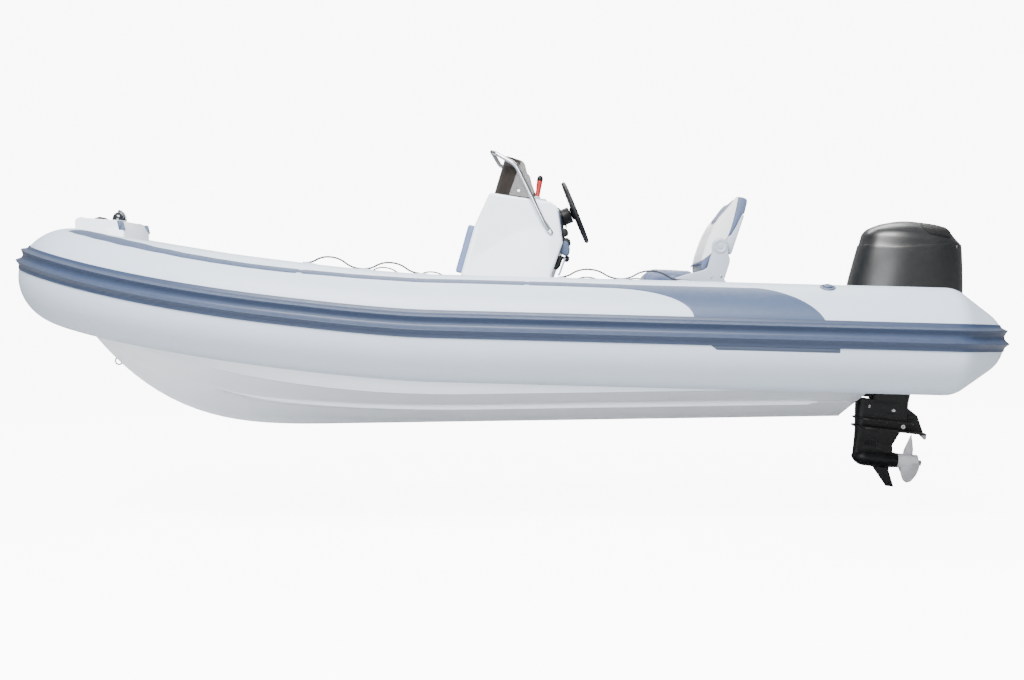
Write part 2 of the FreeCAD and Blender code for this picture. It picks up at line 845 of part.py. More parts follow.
# Console, its seat, pads, windscreen, rail and controls

console = doc.addObject("PartDesign::Body", "console")
outline = sketch(console, "console_side", "XZ_Plane", [
    ("console_rear_foot", "sole_top"),
    ("console_rear_low", "console_rear_low_top"),
    ("console_knee", "console_knee_top"),
    ("console_rear", "console_rear_top"),
    ("console_dash", "console_dash_top"),
    ("console_brow", "console_brow_top"),
    ("console_chest", "console_chest_top"),
    ("console_waist", "console_seat_top"),
    ("console_seat_front", "console_seat_top"),
    ("console_seat_front - console_corner", "sole_top"),
])
last = pad(console, outline, "2 * console_half")


def console_edge(edge):
    """Every outer corner of the console but its foot and the inner corner behind the seat."""
    box = edge.BoundBox
    inner = box.YLength > 1 and abs(box.Center.x - size("console_waist")) < 1
    return box.ZMax > size("sole_top") + 1 and not inner


last = fillet(console, last, "console_corner", console_edge)
hole = sketch(console, "seat_store", "XY_Plane", [
    ("console_waist + console_wall * 2", "-console_half + console_wall * 3"),
    ("console_seat_front - console_wall * 3", "-console_half + console_wall * 3"),
    ("console_seat_front - console_wall * 3", "console_half - console_wall * 3"),
    ("console_waist + console_wall * 2", "console_half - console_wall * 3"),
], "console_seat_top")
last = pocket(console, hole, "console_seat_top - sole_top - console_wall", False)
console.Tip = last
keep(console, "console")

seat = doc.addObject("PartDesign::Body", "front_seat")
outline = sketch(seat, "front_seat_outline", "XY_Plane", [
    ("console_waist + console_wall", "-console_half + console_wall"),
    ("console_seat_front - console_wall", "-console_half + console_wall"),
    ("console_seat_front - console_wall", "console_half - console_wall"),
    ("console_waist + console_wall", "console_half - console_wall"),
], "console_seat_top + seat_gap")
last = fillet(seat, pad(seat, outline, "front_seat_thick", False), "pad_round * 1.5",
              lambda edge: edge.BoundBox.ZMax > size("console_seat_top") + size("front_seat_thick") * 0.5)
seat.Tip = last
keep(seat, "front_seat")


def offset_line(first, last, out):
    """Two points moved square to the line between them."""
    along = (last - first).normalize()
    square = Vector(-along.z, 0, along.x) * out
    return first + square, last + square


def console_pad():
    """Back pad of the front seat, lying on the sloping front of the console."""
    gap = size("seat_gap")
    chest = Vector(size("console_chest"), 0, size("console_chest_top"))
    waist = Vector(size("console_waist"), 0, size("console_seat_top"))
    share = (size("back_pad_foot_top") - waist.z) / (chest.z - waist.z)
    foot = waist + (chest - waist) * share
    inner = offset_line(foot, chest, -gap)
    outer = offset_line(foot, chest, -gap - size("back_pad_thick"))
    half = size("console_half") - size("pad_margin")
    spots = [inner[0], outer[0], outer[1], inner[1]]
    spots = [spot - Vector(0, half, 0) for spot in spots]
    solid = Part.Face(Part.makePolygon(spots + spots[:1])).extrude(Vector(0, 2 * half, 0))
    edges = [edge for edge in solid.Edges if edge.CenterOfMass.x > inner[0].x or edge.Length < half
             and edge.CenterOfMass.distanceToPoint(inner[0]) > size("back_pad_thick")]
    edges = [edge for edge in edges if not touches_line(edge, inner[0], inner[1])]
    return solid.makeFillet(size("pad_round"), edges)


def touches_line(edge, first, last):
    """True when the edge lies in the plane of the pad's inner face."""
    along = (last - first).normalize()
    square = Vector(-along.z, 0, along.x)
    return all(abs((vertex.Point - first).dot(square)) < 1 for vertex in edge.Vertexes)


feature("console_back_pad", console_pad())


def screen_shape():
    """Wrap-round windscreen: a bent sheet, leaning aft, trimmed to its side outline."""
    half = size("screen_half")
    corner = size("screen_corner")
    brow = size("console_brow") - size("console_corner")
    rear = size("screen_rear") - size("overrun")

    def ring(inset):
        bend = corner - inset
        front = brow - inset
        wide = half - inset
        diagonal = bend * (1 - math.sqrt(0.5))
        return [
            Part.LineSegment(Vector(rear, -wide, 0), Vector(front - bend, -wide, 0)).toShape(),
            Part.Arc(Vector(front - bend, -wide, 0), Vector(front - diagonal, -wide + diagonal, 0),
                     Vector(front, -wide + bend, 0)).toShape(),
            Part.LineSegment(Vector(front, -wide + bend, 0), Vector(front, wide - bend, 0)).toShape(),
            Part.Arc(Vector(front, wide - bend, 0), Vector(front - diagonal, wide - diagonal, 0),
                     Vector(front - bend, wide, 0)).toShape(),
            Part.LineSegment(Vector(front - bend, wide, 0), Vector(rear, wide, 0)).toShape(),
        ]

    wide = half
    thick = size("screen_thick")
    ends = [
        Part.LineSegment(Vector(rear, wide, 0), Vector(rear, wide - thick, 0)).toShape(),
        Part.LineSegment(Vector(rear, thick - wide, 0), Vector(rear, -wide, 0)).toShape(),
    ]
    wire = Part.Wire(Part.sortEdges(ring(0) + ring(thick) + ends)[0])
    base = dash_height(brow)
    lean = Vector(size("screen_top_front") - brow, 0, size("screen_top") - base)
    start = Vector(0, 0, base) - lean
    sheet_solid = Part.Face(wire).extrude(lean * 3)
    sheet_solid.translate(start)
    over = size("overrun")
    gap = size("seat_gap")
    top = size("screen_top")
    spots = [
        Vector(size("screen_rear"), -over, dash_height(size("screen_rear")) + gap),
        Vector(brow + over, -over, dash_height(brow + over) + gap),
        Vector(brow + over, -over, top + (brow + over - size("screen_top_front")) * 0.4),
        Vector(size("screen_top_front"), -over, top),
        Vector(size("screen_top_rear"), -over, size("screen_top_rear_top")),
        Vector(size("screen_rear") + size("screen_corner") * 0.25, -over,
               0.5 * (dash_height(size("screen_rear")) + size("screen_top_rear_top"))),
    ]
    side = Part.Face(Part.makePolygon(spots + spots[:1])).extrude(Vector(0, 2 * over, 0))
    return sheet_solid.common(side).removeSplitter()


def dash_height(x):
    """Height of the console's sloping top."""
    first = Vector(size("console_dash"), 0, size("console_dash_top"))
    last = Vector(size("console_brow"), 0, size("console_brow_top"))
    return first.z + (last.z - first.z) * (x - first.x) / (last.x - first.x)


feature("windscreen", screen_shape())


def bent_path(spots, radii):
    """Straight runs joined by tangent arcs."""
    edges = []
    start = spots[0]
    for n in range(1, len(spots) - 1):
        before = (spots[n - 1] - spots[n]).normalize()
        after = (spots[n + 1] - spots[n]).normalize()
        half_turn = before.getAngle(after) / 2
        reach = radii[n - 1] / math.tan(half_turn)
        first = spots[n] + before * reach
        last = spots[n] + after * reach
        inward = (before + after).normalize()
        centre = spots[n] + inward * (radii[n - 1] / math.sin(half_turn))
        edges.append(Part.LineSegment(start, first).toShape())
        edges.append(Part.Arc(first, centre - inward * radii[n - 1], last).toShape())
        start = last
    edges.append(Part.LineSegment(start, spots[-1]).toShape())
    return Part.Wire(edges)


def tube_along(path, radius, flats=0):
    """Round bar along a path, or one with this many flats."""
    start = path.Edges[0]
    heading = start.tangentAt(start.FirstParameter)
    ring = Part.Wire(Part.Circle(Vector(), Vector(0, 0, 1), radius).toShape())
    if flats:
        ring = Part.makePolygon(flat_ring(radius, flats))
    ring.Placement = Placement(start.valueAt(start.FirstParameter), Rotation(Vector(0, 0, 1), heading))
    return path.makePipeShell([ring], True, True)


def flat_ring(radius, flats):
    """Closed row of corners on a circle."""
    turns = [math.tau * n / flats for n in range(flats + 1)]
    return [Vector(radius * math.cos(turn), radius * math.sin(turn), 0) for turn in turns]


def hoop(radius, bar, flats):
    """Ring of bar round the local z axis, its section a many-sided one."""
    section = [Vector(radius + spot.x, 0, spot.y) for spot in flat_ring(bar, flats)]
    return Part.Face(Part.makePolygon(section)).revolve(Vector(), Vector(0, 0, 1), 360)


def rail_shape():
    """Stainless rail over and round the windscreen, footed on the console's sides."""
    half = size("rail_half")
    side = [
        Vector(size("rail_foot_x"), size("console_half") + size("seat_gap"), size("rail_foot_z")),
        Vector(size("rail_foot_x"), half, size("rail_foot_z")),
        Vector(size("rail_mid_x"), half, size("rail_mid_z")),
        Vector(size("rail_bend_x"), half, size("rail_bend_z")),
        Vector(size("rail_top_x"), half - size("rail_tube"), size("rail_top_z")),
    ]
    other = [Vector(spot.x, -spot.y, spot.z) for spot in reversed(side)]
    bend = size("rail_bend_radius")
    tight = size("rail_tube") * 1.1
    radii = [tight, bend * 5, bend * 1.4, bend, bend, bend * 1.4, bend * 5, tight]
    return tube_along(bent_path(side + other, radii), size("rail_tube"))


feature("console_rail", rail_shape())

eye = hoop(size("bow_eye_radius"), size("eye_rod"), 8)
eye.Placement = Placement(Vector(stem_station(size("bow_eye_height")), 0, size("bow_eye_height")),
                          Rotation(Vector(1, 0, 0), 90))
hull_room = hull.Shape.copy()
hull_room.translate(Vector(size("seat_gap"), 0, 0))
feature("bow_eye", eye.cut(hull_room))

wheel_axis = Vector(-size("wheel_rise"), 0, size("wheel_lean")).normalize()
wheel_turn = Rotation(Vector(0, 0, 1), wheel_axis)
wheel_spot = Vector(size("wheel_x"), 0, size("wheel_z"))


def wheel_shape():
    """Steering wheel: rim, three dished spokes, hub and the stub of its shaft."""
    standoff = size("helm_standoff")
    hub = size("wheel_hub_length")
    rim = hoop(size("wheel_radius"), size("wheel_rim"), 12)
    parts = [
        Part.makeCylinder(size("wheel_hub_radius"), hub, Vector(0, 0, -standoff)),
        Part.makeCylinder(size("wheel_shaft"), standoff * 1.5, Vector(0, 0, -standoff * 2)),
    ]
    for n in range(3):
        turn = math.radians(60 + 120 * n)
        out = Vector(math.cos(turn), math.sin(turn), 0)
        first = out * (size("wheel_hub_radius") * 0.6) + Vector(0, 0, -standoff * 0.5)
        reach = out * size("wheel_radius") - first
        parts.append(Part.makeCylinder(size("spoke_radius"), reach.Length, first, reach))
    return rim.fuse(parts)


wheel = feature("steering_wheel", wheel_shape())
wheel.Placement = Placement(wheel_spot, wheel_turn)


def helm_shape():
    """Helm pump housing between the console's rear face and the wheel."""
    top = -size("helm_standoff") - size("running_gap")
    radius = size("helm_radius")
    housing = Part.makeCylinder(radius, radius * 2.2, Vector(0, 0, top - radius * 2.2))
    bore = Part.makeCylinder(size("wheel_shaft") + size("running_gap"), size("helm_standoff") * 2,
                             Vector(0, 0, top - size("helm_standoff") * 1.2))
    housing = housing.cut(bore)
    housing.Placement = Placement(wheel_spot, wheel_turn)
    return housing.cut(console.Shape)


doc.recompute()
feature("helm", helm_shape())


def panel_shape():
    """Instrument panel lying on the rear face of the console."""
    knee = Vector(size("console_knee"), 0, size("console_knee_top"))
    top = Vector(size("console_rear"), 0, size("console_rear_top"))
    margin = size("pad_margin")
    along = (top - knee).normalize()
    first = knee + along * margin
    last = top - along * margin * 0.5
    inner = offset_line(first, last, size("seat_gap"))
    outer = offset_line(first, last, size("seat_gap") + size("panel_thick"))
    half = size("console_half") - margin * 2
    spots = [inner[0], inner[1], outer[1], outer[0]]
    spots = [spot - Vector(0, half, 0) for spot in spots]
    solid = Part.Face(Part.makePolygon(spots + spots[:1])).extrude(Vector(0, 2 * half, 0))
    opening = Part.makeCylinder(size("helm_radius") + size("running_gap"), size("overrun"))
    opening.Placement = Placement(wheel_spot - wheel_axis * size("overrun") * 0.5, wheel_turn)
    return solid.cut(opening)


feature("dash_panel", panel_shape())


def control_shape():
    """Engine control: a binnacle with an upright lever and a rounded grip."""
    x = size("control_x")
    y = -size("control_y")
    length = size("control_length")
    width = size("control_width")
    height = size("control_height")
    over = size("overrun")
    low = dash_height(x - length / 2) + size("seat_gap")
    high = dash_height(x + length / 2) + size("seat_gap")
    rise = (high - low) / length
    spots = [
        Vector(x - length / 2, y - width / 2, low),
        Vector(x + length / 2, y - width / 2, high),
        Vector(x + length * 0.28, y - width / 2, high + height),
        Vector(x - length * 0.34, y - width / 2, high + height * 0.8),
    ]
    base = Part.Face(Part.makePolygon(spots + spots[:1])).extrude(Vector(0, width, 0))
    start = Vector(x, y, high + height * 0.5)
    lever = Part.makeCylinder(size("lever_radius"), size("lever_height") - size("grip_radius"), start)
    grip_foot = start + Vector(0, 0, size("lever_height") - size("grip_radius") - size("grip_length") * 0.5)
    grip = Part.makeCylinder(size("grip_radius"), size("grip_length") * 0.5, grip_foot)
    cap = Part.makeSphere(size("grip_radius"), grip_foot + Vector(0, 0, size("grip_length") * 0.5))
    return base.fuse([lever, grip, cap])


feature("engine_control", control_shape())

# Helm seat

seat_base = block("seat_base", [
    ("seat_base_aft", "sole_top"),
    ("seat_base_fore", "sole_top"),
    ("seat_base_fore + pad_margin * 0.5", "seat_base_top"),
    ("seat_base_aft - pad_margin * 0.5", "seat_base_top"),
], "2 * seat_half - 2 * pad_margin")
keep(seat_base, "seat_base")

seat_cushion = block("seat_cushion", [
    ("seat_rear", "seat_base_top + seat_gap"),
    ("seat_front - pad_margin", "seat_base_top + seat_gap"),
    ("seat_front", "seat_top - pad_margin * 1.2"),
    ("seat_front - pad_margin * 1.3", "seat_top"),
    ("seat_rear", "seat_rear_top"),
], "2 * seat_half", "XZ_Plane", "pad_round",
    lambda edge: edge.BoundBox.ZMax > size("seat_base_top") + size("pad_round") * 2)
keep(seat_cushion, "seat_cushion")

backrest = block("backrest_block", [
    ("back_waist + pad_margin * 0.6", "back_waist_top"),
    ("back_front - back_shell_thick * 0.7", "back_front_foot"),
    ("back_breast - back_shell_thick", "back_breast_top - back_shell_thick"),
    ("back_top_front - back_shell_thick * 0.35", "back_top - back_shell_thick * 0.3"),
    ("back_top_rear", "back_top - back_shell_thick * 0.2"),
    ("back_waist", "back_waist_top"),
], "2 * seat_half - 2 * seat_gap")
pivot = doc.addObject("Part::Cylinder", "pivot_bore")
pivot.setExpression("Radius", formula("arm_pin + running_gap"))
pivot.setExpression("Height", formula("4 * seat_half"))
pivot.Placement = Placement(Vector(size("back_pivot_x"), 2 * size("seat_half"), size("back_pivot_z")),
                            Rotation(Vector(1, 0, 0), 90))
keep(boolean("Cut", "backrest_bored", backrest, pivot), "backrest_shell")

back_pad = block("backrest_pad", [
    ("back_front - back_shell_thick * 0.7 + seat_gap", "back_front_foot"),
    ("back_front", "back_front_foot"),
    ("back_breast", "back_breast_top"),
    ("back_top_front", "back_top"),
    ("back_top_front - back_shell_thick * 0.35 + seat_gap", "back_top - back_shell_thick * 0.3 + seat_gap"),
    ("back_breast - back_shell_thick + seat_gap", "back_breast_top - back_shell_thick + seat_gap"),
], "2 * seat_half - 2 * seat_gap")
keep(back_pad, "backrest_pad")


def arm_shape(side):
    """Moulded arm from the seat base up to the backrest's pivot, with its round knob."""
    inner = size("seat_half") + size("arm_gap")
    thick = size("arm_thick")
    pivot = Vector(size("back_pivot_x"), 0, size("back_pivot_z"))
    foot = size("seat_base_top") - size("arm_thick") * 5
    front = size("seat_base_aft") + size("pad_margin") * 2.5
    rear = size("seat_base_aft") - size("pad_margin")
    knob = size("arm_knob_radius")
    spots = [
        Vector(rear, 0, foot),
        Vector(front, 0, foot),
        Vector(pivot.x + knob, 0, pivot.z),
        Vector(pivot.x - knob, 0, pivot.z),
    ]
    plate = Part.Face(Part.makePolygon(spots + spots[:1])).extrude(Vector(0, thick, 0))
    disc = Part.makeCylinder(knob, thick * 1.4, pivot, Vector(0, 1, 0))
    pin = Part.makeCylinder(size("arm_pin"), thick * 2, pivot - Vector(0, thick * 1.5, 0), Vector(0, 1, 0))
    arm = plate.fuse([disc, pin])
    arm.translate(Vector(0, inner, 0))
    reach = inner - size("seat_half") + size("pad_margin")
    link = Part.makeBox(front - rear, reach + thick * 0.5, thick * 2,
                        Vector(rear, inner - reach + size("seat_gap"), foot))
    arm = arm.fuse(link)
    if side < 0:
        arm = arm.mirror(Vector(), Vector(0, 1, 0))
    return arm


feature("seat_arm_port", arm_shape(1))
feature("seat_arm_starboard", arm_shape(-1))


# Grab lines, patches and valves

def loop_stations():
    """Aft and fore end of each rope loop along the collar."""
    return [(size(f"loop_{n}_aft"), size(f"loop_{n}_fore")) for n in (1, 2, 3, 4)]


def collar_top(x, across):
    """Point and outward direction on the upper collar, this far inboard of its crest."""
    radius = size("collar_radius")
    turn = across / radius
    out = Vector(0, -math.sin(turn), math.cos(turn))
    return Vector(x, size("collar_spread"), sheer(x)) + out * radius, out


def rope_loop(first, last):
    """One arched loop of rope between two patches."""
    across = size("rope_inboard")
    rise = size("rope_rise")
    lie = size("rope_radius") + size("patch_thick") * 0.5
    spots = []
    for share, height in ((0, 0), (0.3, 1), (0.7, 1), (1, 0)):
        x = first + (last - first) * share
        spot, out = collar_top(x, across)
        spots.append(spot + out * (lie + rise * height))
    return spots


def grab_line(pairs):
    """A rope through three patches, standing up in a loop between each two."""
    spots = []
    lie = size("rope_radius") + size("patch_thick") * 0.5
    for first, last in pairs:
        spots += rope_loop(first, last)
    tail = size("patch_length") * 0.4
    spot, out = collar_top(pairs[0][0] - tail, size("rope_inboard"))
    spots.insert(0, spot + out * lie)
    spot, out = collar_top(pairs[-1][1] + tail, size("rope_inboard"))
    spots.append(spot + out * lie)
    radii = [turn_radius(spots, n) for n in range(1, len(spots) - 1)]
    return tube_along(bent_path(spots, radii), size("rope_radius"), 8)


def turn_radius(spots, n):
    """As large an arc as the two runs beside this point allow."""
    before = spots[n - 1] - spots[n]
    after = spots[n + 1] - spots[n]
    half_turn = before.getAngle(after) / 2
    return 0.45 * min(before.Length, after.Length) * math.tan(half_turn)


def patch(x):
    """Oval patch that holds the rope down on the collar."""
    spot, out = collar_top(x, size("rope_inboard"))
    radius = size("collar_radius")
    outer = radius + size("patch_thick")
    axis = Vector(1, 0, COLLAR_SLOPE_SHARE).normalize()
    centre = Vector(x, size("collar_spread"), sheer(x)) - axis * size("patch_length") / 2
    shell = Part.makeCylinder(outer, size("patch_length"), centre, axis)
    shell = shell.cut(Part.makeCylinder(radius * 0.9, size("patch_length"), centre, axis))
    stamp = Part.Ellipse(Vector(), size("patch_length") / 2, size("patch_width") / 2).toShape()
    stamp = Part.Face(Part.Wire(stamp)).extrude(Vector(0, 0, radius))
    stamp.Placement = Placement(spot - out * radius * 0.5, Rotation(Vector(0, 0, 1), out))
    return shell.common(stamp).cut(room.Shape)


def both_sides(shapes):
    """Port shapes with their starboard mirror images, as one compound."""
    return Part.makeCompound(list(shapes) + [shape.mirror(Vector(), Vector(0, 1, 0)) for shape in shapes])


loops = loop_stations()
ropes = [grab_line(loops[:2]), grab_line(loops[2:])]
between = size("patch_length") * 0.42
patch_stations = []
for pair in (loops[:2], loops[2:]):
    patch_stations += [pair[0][0] - between, 0.5 * (pair[0][1] + pair[1][0]), pair[1][1] + between]
patches = [patch(x) for x in patch_stations]
patches = [one.cut(ropes[0]).cut(ropes[1]) for one in patches]
feature("grab_lines", both_sides(ropes))
feature("rope_patches", both_sides(patches))


def valve_shape():
    """Inflation valve: a flanged disc with a raised cap, square to the collar."""
    flange = Part.makeCylinder(size("valve_radius"), size("valve_proud"))
    cap = Part.makeCylinder(size("valve_radius") * 0.55, size("valve_proud") * 0.8,
                            Vector(0, 0, size("valve_proud")))
    shape = flange.fuse(cap)
    spot, out = collar_top(size("valve_x"), -size("collar_radius") * 0.35)
    sag = size("valve_radius") ** 2 / (2 * size("collar_radius"))
    shape.Placement = Placement(spot - out * sag, Rotation(Vector(0, 0, 1), out))
    return shape.cut(room.Shape)


feature("valves", both_sides([valve_shape()]))


# Outboard engine

trim = math.degrees(math.atan2(size("trim_run"), size("trim_rise")))
engine_place = Placement(Vector(-size("tilt_x"), 0, size("tilt_z")), Rotation(Vector(0, 1, 0), -trim))


def engine_feature(label, shape):
    """A piece of the engine, moved from its upright frame to the trimmed one."""
    item = feature(label, shape)
    item.Placement = engine_place.multiply(shape.Placement)
    return item


def ring_wire(z, front, rear, half, nose, tail):
    """Rounded outline at one height: blunt nose forward, squarer tail aft."""
    def corner(x, y, turn_x, turn_y, radius):
        diagonal = radius * (1 - math.sqrt(0.5))
        return (Vector(x - turn_x * radius, y, z), Vector(x - turn_x * diagonal, y - turn_y * diagonal, z),
                Vector(x, y - turn_y * radius, z))

    a = corner(front, half, 1, 1, nose)
    b = corner(front, -half, 1, -1, nose)
    c = corner(rear, -half, -1, -1, tail)
    d = corner(rear, half, -1, 1, tail)
    edges = [
        Part.Arc(a[0], a[1], a[2]).toShape(),
        Part.LineSegment(a[2], b[2]).toShape(),
        Part.Arc(b[2], b[1], b[0]).toShape(),
        Part.LineSegment(b[0], c[0]).toShape(),
        Part.Arc(c[0], c[1], c[2]).toShape(),
        Part.LineSegment(c[2], d[2]).toShape(),
        Part.Arc(d[2], d[1], d[0]).toShape(),
        Part.LineSegment(d[0], a[0]).toShape(),
    ]
    return Part.Wire(edges)


# each row: share of the height above the seam, shares of front, rear and half-width
COWL_SHARES = (
    (0.00, 1.00, 1.000, 1.00),
    (0.30, 0.86, 0.985, 1.00),
    (0.55, 0.62, 0.965, 0.95),
    (0.75, 0.42, 0.935, 0.87),
    (0.85, 0.00, 0.900, 0.78),
    (0.93, -0.75, 0.845, 0.64),
    (0.98, -1.65, 0.750, 0.46),
    (1.00, -2.25, 0.665, 0.30),
)


def cowl_loft(inset):
    """The cowl's outer form, or its inside when inset by the wall."""
    seam = size("cowl_seam")
    height = size("cowl_top") - inset - seam
    wires = []
    for rise, front, rear, half in COWL_SHARES:
        wide = size("cowl_half") * half - inset
        nose = wide * 0.8
        wires.append(ring_wire(seam + height * rise, size("cowl_front") * front - inset,
                               inset - size("cowl_rear") * rear, wide, nose, wide * 0.45))
    return Part.makeLoft(wires, True, True)


engine_feature("cowl", cowl_loft(0).cut(cowl_loft(size("cowl_wall"))))


def apron_shape():
    """Lower cowl: a tray under the seam, and the skirt that closes round the leg."""
    seam = size("cowl_seam") - size("seat_gap")
    foot = size("apron_front_foot")
    half = size("cowl_half")
    tray = Part.makeLoft([
        ring_wire(foot, size("cowl_front") * 0.86, -size("cowl_rear") * 0.95, half * 0.88, half * 0.7, half * 0.4),
        ring_wire(seam, size("cowl_front"), -size("cowl_rear"), half, half * 0.8, half * 0.45),
    ], True, True)
    front = -size("swivel_x") - size("swivel_radius") - size("running_gap") * 12
    skirt = Part.makeLoft([
        ring_wire(-size("leg_top"), front, -size("leg_rear") * 1.15, half * 0.48, half * 0.3, half * 0.3),
        ring_wire(foot, front, -size("cowl_rear") * 0.92, half * 0.8, half * 0.3, half * 0.36),
    ], True, True)
    return tray.fuse(skirt)


engine_feature("lower_cowl", apron_shape())

block_shape = Part.makeBox(size("block_length"), size("block_width"), size("block_height"),
                           Vector(-size("block_length") - size("swivel_x"), -size("block_width") / 2,
                                  size("cowl_seam")))
engine_feature("powerhead", block_shape)


def leg_ring(z, front, rear, half):
    """Streamlined leg section: rounded nose, finer tail."""
    return ring_wire(z, -front, -rear, half, half * 0.9, half * 0.6)


def midsection_shape():
    """Exhaust housing behind the swivel bracket, stepping forward below it."""
    upper_front = size("swivel_x") + size("swivel_radius") + size("running_gap") * 12
    top = -size("leg_top") - size("seat_gap")
    step = -size("leg_step") - size("running_gap") * 10
    plate = -size("plate_depth") + size("plate_thick")
    half = size("leg_half")
    upper = Part.makeLoft([
        leg_ring(step, upper_front, size("leg_rear"), half * 1.1),
        leg_ring(top, upper_front, size("leg_rear") * 1.1, half * 1.6),
    ], True, True)
    lower = Part.makeLoft([
        leg_ring(plate, size("leg_front") * 1.5, size("leg_rear") * 1.03, half * 0.9),
        leg_ring(step, size("leg_front"), size("leg_rear"), half),
    ], True, True)
    flare = [
        Vector(-size("leg_rear") * 0.8, 0, step - size("plate_thick") * 3),
        Vector(-size("leg_rear"), 0, step - size("plate_thick") * 3),
        Vector(-size("plate_rear") * 0.9, 0, step - size("plate_thick") * 7),
        Vector(-size("plate_rear"), 0, plate),
        Vector(-size("leg_rear") * 0.8, 0, plate),
    ]
    fin = Part.Face(Part.makePolygon(flare + flare[:1])).extrude(Vector(0, half, 0))
    fin.translate(Vector(0, -half / 2, 0))
    splash = plate_shape(-size("splash_plate_depth"), size("plate_half") * 0.75, size("leg_rear") * 1.1)
    return upper.fuse([lower, fin, splash])


def plate_shape(z, half, rear):
    """Flat plate round the leg, rounded at the front and square aft."""
    thick = size("plate_thick")
    ring = ring_wire(z, -size("leg_front"), -rear, half, half * 0.85, half * 0.35)
    return Part.Face(ring).extrude(Vector(0, 0, thick))


engine_feature("midsection", midsection_shape())


def gearcase_shape():
    """Anti-ventilation plate, strut, torpedo and skeg in one casting."""
    plate_z = -size("plate_depth")
    plate = plate_shape(plate_z - size("seat_gap"), size("plate_half"), size("plate_rear"))
    axis = -size("shaft_depth")
    radius = size("torpedo_radius")
    front = size("torpedo_front")
    rear = size("torpedo_rear")
    strut = Part.makeLoft([
        leg_ring(axis, front * 1.15, rear * 0.92, radius * 0.42),
        leg_ring(0.5 * (axis + plate_z), front * 1.15, rear * 0.88, radius * 0.55),
        leg_ring(plate_z, front * 1.1, rear, size("leg_half") * 0.9),
    ], True, True)
    nose = radius * 1.5
    spots = [Vector(-front, 0, 0), Vector(-front - nose * 0.3, 0, radius * 0.62),
             Vector(-front - nose, 0, radius)]
    tail = [Vector(-rear * 0.75, 0, radius), Vector(-rear, 0, size("prop_hub_radius"))]
    profile = [
        Part.Arc(spots[0], spots[1], spots[2]).toShape(),
        Part.LineSegment(spots[2], tail[0]).toShape(),
        Part.LineSegment(tail[0], tail[1]).toShape(),
        Part.LineSegment(tail[1], Vector(-rear, 0, 0)).toShape(),
        Part.LineSegment(Vector(-rear, 0, 0), spots[0]).toShape(),
    ]
    torpedo = Part.Face(Part.Wire(profile)).revolve(Vector(), Vector(1, 0, 0), 360)
    torpedo.translate(Vector(0, 0, axis))
    thick = size("skeg_thick")
    deep = -size("skeg_depth")
    fin = [
        Vector(-front - nose * 1.1, -thick / 2, axis),
        Vector(-rear * 0.87, -thick / 2, axis),
        Vector(-rear * 0.87, -thick / 2, axis - radius * 1.2),
        Vector(-rear, -thick / 2, deep),
        Vector(-rear * 0.85, -thick / 2, deep),
    ]
    skeg = Part.Face(Part.makePolygon(fin + fin[:1])).extrude(Vector(0, thick, 0))
    shaft = Part.makeCylinder(size("prop_shaft"), size("prop_hub_length"), Vector(-rear, 0, axis),
                              Vector(-1, 0, 0))
    return plate.fuse([strut, torpedo, skeg, shaft])


engine_feature("gearcase", gearcase_shape())


def trim_tab_shape():
    """Small vertical tab hung under the tail of the anti-ventilation plate."""
    rear = size("plate_rear")
    length = size("tab_length")
    thick = size("skeg_thick")
    top = -size("plate_depth") - size("seat_gap") * 2
    spots = [
        Vector(-rear + length * 0.5, -thick / 2, top),
        Vector(-rear - length * 0.5, -thick / 2, top),
        Vector(-rear - length * 0.5, -thick / 2, top - size("tab_height") * 0.8),
        Vector(-rear - length * 0.3, -thick / 2, top - size("tab_height") * 0.9),
    ]
    return Part.Face(Part.makePolygon(spots + spots[:1])).extrude(Vector(0, thick, 0))


engine_feature("trim_tab", trim_tab_shape())


# each row: share of the blade radius, share of the chord, share of the thickness
BLADE_SHARES = ((0.22, 0.60, 1.0), (0.45, 0.90, 0.8), (0.68, 1.00, 0.6), (0.87, 0.82, 0.45), (0.99, 0.42, 0.3))


def blade_shape():
    """One propeller blade lofted through lens sections laid on the helix."""
    wires = []
    chord_full = size("prop_radius") * 0.86
    thick_full = size("prop_shaft") * 0.7
    for reach, chord, thick in BLADE_SHARES:
        radius = size("prop_radius") * reach
        pitch = math.atan2(size("prop_pitch"), math.tau * radius)
        half = chord_full * chord / 2
        bulge = thick_full * thick / 2
        along = Vector(math.sin(pitch), math.cos(pitch), 0)
        square = Vector(-math.cos(pitch), math.sin(pitch), 0)
        centre = Vector(-size("prop_hub_length") * 0.08 * reach, 0, radius)
        lead = centre + along * half
        trail = centre - along * half
        wires.append(Part.Wire([
            Part.Arc(lead, centre + square * bulge, trail).toShape(),
            Part.Arc(trail, centre - square * bulge, lead).toShape(),
        ]))
    return Part.makeLoft(wires, True, True)


def propeller_shape():
    """Hub with a through bore and three blades."""
    length = size("prop_hub_length")
    radius = size("prop_hub_radius")
    hub = Part.makeCone(radius, radius * 1.06, length, Vector(), Vector(-1, 0, 0))
    shape = hub
    for n in range(3):
        blade = blade_shape()
        blade.translate(Vector(-length * 0.5, 0, 0))
        blade.rotate(Vector(), Vector(1, 0, 0), 120 * n)
        shape = shape.fuse(blade)
    bore = Part.makeCylinder(size("prop_shaft") + size("running_gap"), length * 2,
                             Vector(length * 0.5, 0, 0), Vector(-1, 0, 0))
    shape = shape.cut(bore)
    shape.translate(Vector(-size("torpedo_rear") - size("running_gap") * 2, 0, -size("shaft_depth")))
    return shape


engine_feature("propeller", propeller_shape())


def nut_shape():
    """Propeller nut, clear of the hub, on the end of the shaft."""
    radius = size("nut_radius")
    spots = [Vector(0, radius * math.cos(math.radians(60 * n)), radius * math.sin(math.radians(60 * n)))
             for n in range(6)]
    solid = Part.Face(Part.makePolygon(spots + spots[:1])).extrude(Vector(-size("nut_length"), 0, 0))
    solid.translate(Vector(-size("torpedo_rear") - size("prop_hub_length") - size("running_gap") * 4, 0,
                           -size("shaft_depth")))
    return solid


